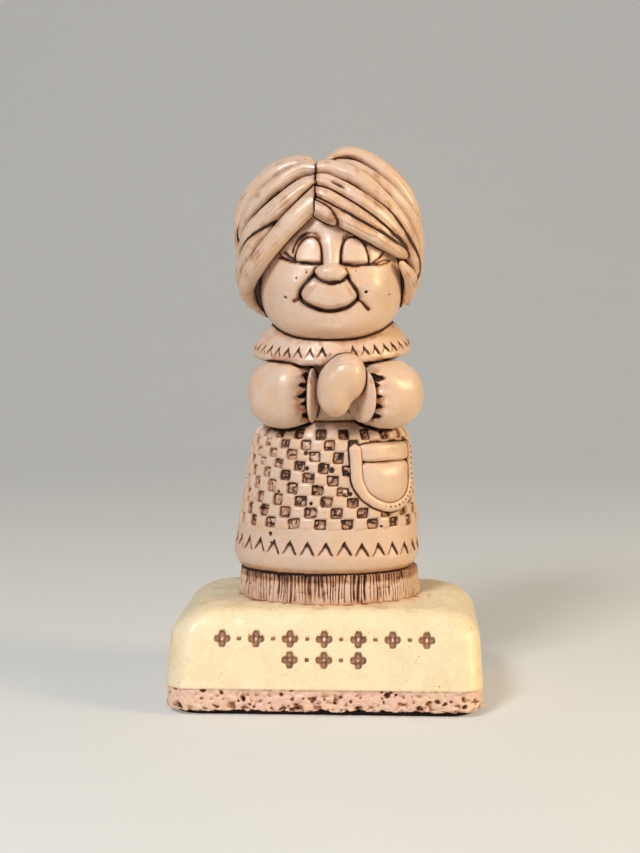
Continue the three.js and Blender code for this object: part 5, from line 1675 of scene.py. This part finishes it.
def seam_wash_and_shade(sizes):
    """Adds to each piece's wash where another piece is near, part wash at the joint and part painted shade:
    most at the seam, falling to none over the seam's reach, with a faint film of painted shade over a reach
    of its own. Noise breaks both."""
    group = distance_group()
    for name, names, strength, reach, shade_film_reach in SEAMS:
        target = made[name]
        holder = neighbour_mesh(names)
        modifier = target.modifiers.new("gap", "NODES")
        modifier.node_group = group
        modifier[group.interface.items_tree["Neighbours"].identifier] = holder
        shown = target.evaluated_get(bpy.context.evaluated_depsgraph_get())
        gap = read(shown.data.attributes["gap"].data, "value") / (MM * sizes.seam_spread)
        target.modifiers.remove(modifier)
        places = read(target.data.vertices, "co", 3).reshape(-1, 3) / MM
        worn = 0.8 + 0.2 * smooth(-0.45, 0.25, mottle(places, 2.4, 151))
        film = 0.34 * smooth(-0.9, 0.5, mottle(places, 1.9, 152))
        # The line is wash at the joint and, on some seams, painted shadow; the film is painted shade
        line = np.maximum(worn * smooth(reach, 0.3 * reach, gap), film * smooth(shade_film_reach, 0, gap))
        data = target.data.attributes["wash_and_shade"].data
        wash_and_shade = np.maximum(read(data, "value"), strength * line)
        data.foreach_set("value", wash_and_shade.astype(np.float32))
        mesh = holder.data
        bpy.data.objects.remove(holder)
        bpy.data.meshes.remove(mesh)
    bpy.data.node_groups.remove(group)


# Stage


def studio(colours):
    """A sheet that runs level under the doll and bends up behind it as a quarter circle, two soft lamps and a
    pale world."""
    bend = np.linspace(0, np.pi / 2, 24)[1:]
    back = SHEET_BACK + SHEET_BEND
    y = np.concatenate([[-SHEET_REACH, SHEET_BACK], SHEET_BACK + SHEET_BEND * np.sin(bend), [back]])
    z = np.concatenate([[0.0, 0.0], SHEET_BEND * (1 - np.cos(bend)), [SHEET_REACH]])
    x = np.array([-SHEET_REACH, SHEET_REACH])
    points = grid(x[None], y[:, None], z[:, None]).reshape(-1, 3) * MM
    first = np.arange(len(y) - 1) * 2
    faces = np.stack([first, first + 1, first + 3, first + 2], -1)
    mesh = new_mesh("studio_sheet", points, faces.ravel(), np.arange(len(faces)) * 4)
    mesh.shade_smooth()
    mesh.materials.append(floor_finish(colours))
    new_object("studio_sheet", mesh)
    for name, settings in LAMPS.items():
        lamp(name, *settings)
    world = bpy.data.worlds.new("studio")
    world.use_nodes = True
    background = world.node_tree.nodes["Background"].inputs
    background["Color"].default_value = (*WORLD_TINT, 1)
    background["Strength"].default_value = WORLD_STRENGTH
    bpy.context.scene.world = world


def lamp(name, place, size, watts, tint):
    """A square soft lamp that looks at the middle of the doll."""
    data = bpy.data.lights.new(name, "AREA")
    data.size = size * MM
    data.energy = watts
    data.color = tint
    placed = new_object(name, data)
    placed.location = Vector(place) * MM
    aim = Vector(LAMP_AIM) * MM - placed.location
    placed.rotation_euler = aim.to_track_quat("-Z", "Y").to_euler()


def camera():
    """The camera on a circle round the figure's axis, aimed so that the axis falls on its pixel."""
    turn = np.radians(CAMERA_AZIMUTH)
    axis = np.array([0, FIGURE_Y, 0])
    right = np.array([np.cos(turn), np.sin(turn), 0])
    back = np.array([np.sin(turn), -np.cos(turn), 0])
    eye = axis + back * CAMERA_DISTANCE + [0, 0, CAMERA_HEIGHT]
    drop = CAMERA_DISTANCE * np.tan(np.radians(CAMERA_PITCH))
    beside = (AXIS_PIXEL - IMAGE_WIDTH / 2) * CAMERA_DISTANCE / FOCAL_PIXELS
    target = axis - right * beside + [0, 0, CAMERA_HEIGHT - drop]
    data = bpy.data.cameras.new("camera")
    data.sensor_fit = "VERTICAL"
    data.sensor_height = SENSOR
    data.lens = SENSOR * FOCAL_PIXELS / IMAGE_HEIGHT
    data.clip_start = CAMERA_NEAR
    placed = new_object("camera", data)
    placed.location = Vector(eye) * MM
    placed.rotation_euler = Vector(target - eye).to_track_quat("-Z", "Y").to_euler()
    bpy.context.scene.camera = placed


# Operators


class PieceOperator:
    """What the operators share: run one or more makers, each of which takes the scene's sizes."""

    bl_options = {"REGISTER", "UNDO"}
    makers = ()

    def execute(self, context):
        for maker in self.makers:
            maker(context.scene.doll_sizes)
        return {"FINISHED"}


class DOLL_OT_plinth(PieceOperator, bpy.types.Operator):
    """Make the plinth with its rough band and carved flowers"""

    bl_idname = "doll.plinth"
    bl_label = "Plinth"
    makers = (plinth,)


class DOLL_OT_petticoat(PieceOperator, bpy.types.Operator):
    """Make the pleated petticoat"""

    bl_idname = "doll.petticoat"
    bl_label = "Petticoat"
    makers = (petticoat,)


class DOLL_OT_dress(PieceOperator, bpy.types.Operator):
    """Make the dress with its checks and notched hem"""

    bl_idname = "doll.dress"
    bl_label = "Dress"
    makers = (dress,)


class DOLL_OT_pocket(PieceOperator, bpy.types.Operator):
    """Make the pocket with its trim and band"""

    bl_idname = "doll.pocket"
    bl_label = "Pocket"
    makers = (pocket_trim, pocket)


class DOLL_OT_bodice(PieceOperator, bpy.types.Operator):
    """Make the bodice and neck"""

    bl_idname = "doll.bodice"
    bl_label = "Bodice"
    makers = (bodice,)


class DOLL_OT_collar(PieceOperator, bpy.types.Operator):
    """Make the notched collar"""

    bl_idname = "doll.collar"
    bl_label = "Collar"
    makers = (collar,)


class DOLL_OT_arms(PieceOperator, bpy.types.Operator):
    """Make the sleeves, cuffs and clasped hands"""

    bl_idname = "doll.arms"
    bl_label = "Arms"
    makers = (arms,)


class DOLL_OT_head(PieceOperator, bpy.types.Operator):
    """Make the head and its carved face"""

    bl_idname = "doll.head"
    bl_label = "Head"
    makers = (head,)


class DOLL_OT_hair(PieceOperator, bpy.types.Operator):
    """Make the crown, the back of the hair and the locks round the face"""

    bl_idname = "doll.hair"
    bl_label = "Hair"
    makers = (hair_cap, locks)


class DOLL_OT_inside(PieceOperator, bpy.types.Operator):
    """Give the felt pad and the dowels their finishes"""

    bl_idname = "doll.inside"
    bl_label = "Felt and dowels"

    def execute(self, context):
        colours = context.scene.doll_colours
        felt, wood = felt_finish(colours), dowel_finish(colours)
        for name, finish in (("felt_pad", felt), ("base_dowel", wood), ("neck_dowel", wood)):
            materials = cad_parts[name].data.materials
            materials.clear()
            materials.append(finish)
        return {"FINISHED"}


class DOLL_OT_seams(PieceOperator, bpy.types.Operator):
    """Let the brown wash and painted shade gather along the seams between pieces"""

    bl_idname = "doll.seams"
    bl_label = "Seams"
    makers = (seam_wash_and_shade,)


class DOLL_OT_stage(bpy.types.Operator):
    """Set up the studio sheet, lamps and camera"""

    bl_idname = "doll.stage"
    bl_label = "Stage"

    def execute(self, context):
        studio(context.scene.doll_colours)
        camera()
        context.scene.view_settings.view_transform = "Standard"
        return {"FINISHED"}


OPERATORS = (
    DOLL_OT_plinth,
    DOLL_OT_petticoat,
    DOLL_OT_dress,
    DOLL_OT_pocket,
    DOLL_OT_bodice,
    DOLL_OT_collar,
    DOLL_OT_arms,
    DOLL_OT_head,
    DOLL_OT_hair,
    DOLL_OT_inside,
    DOLL_OT_seams,
    DOLL_OT_stage,
)


class DOLL_PT_panel(bpy.types.Panel):
    """Lists the doll's settings and pieces"""

    bl_idname = "DOLL_PT_panel"
    bl_label = "Message doll"
    bl_space_type = "VIEW_3D"
    bl_region_type = "UI"
    bl_category = "Doll"

    def draw(self, context):
        for group in (context.scene.doll_sizes, context.scene.doll_colours):
            box = self.layout.box()
            for key in group.bl_rna.properties.keys():
                if key not in ("rna_type", "name"):
                    box.prop(group, key)
        for operator in OPERATORS:
            self.layout.operator(operator.bl_idname)


CLASSES = (DollSizes, DollColours, *OPERATORS, DOLL_PT_panel)


def register():
    for cls in CLASSES:
        bpy.utils.register_class(cls)
    bpy.types.Scene.doll_sizes = bpy.props.PointerProperty(type=DollSizes)
    bpy.types.Scene.doll_colours = bpy.props.PointerProperty(type=DollColours)


def unregister():
    del bpy.types.Scene.doll_colours
    del bpy.types.Scene.doll_sizes
    for cls in reversed(CLASSES):
        bpy.utils.unregister_class(cls)


def main():
    register()
    for operator in OPERATORS:
        family, name = operator.bl_idname.split(".")
        getattr(getattr(bpy.ops, family), name)()


if __name__ == "__main__":
    main()
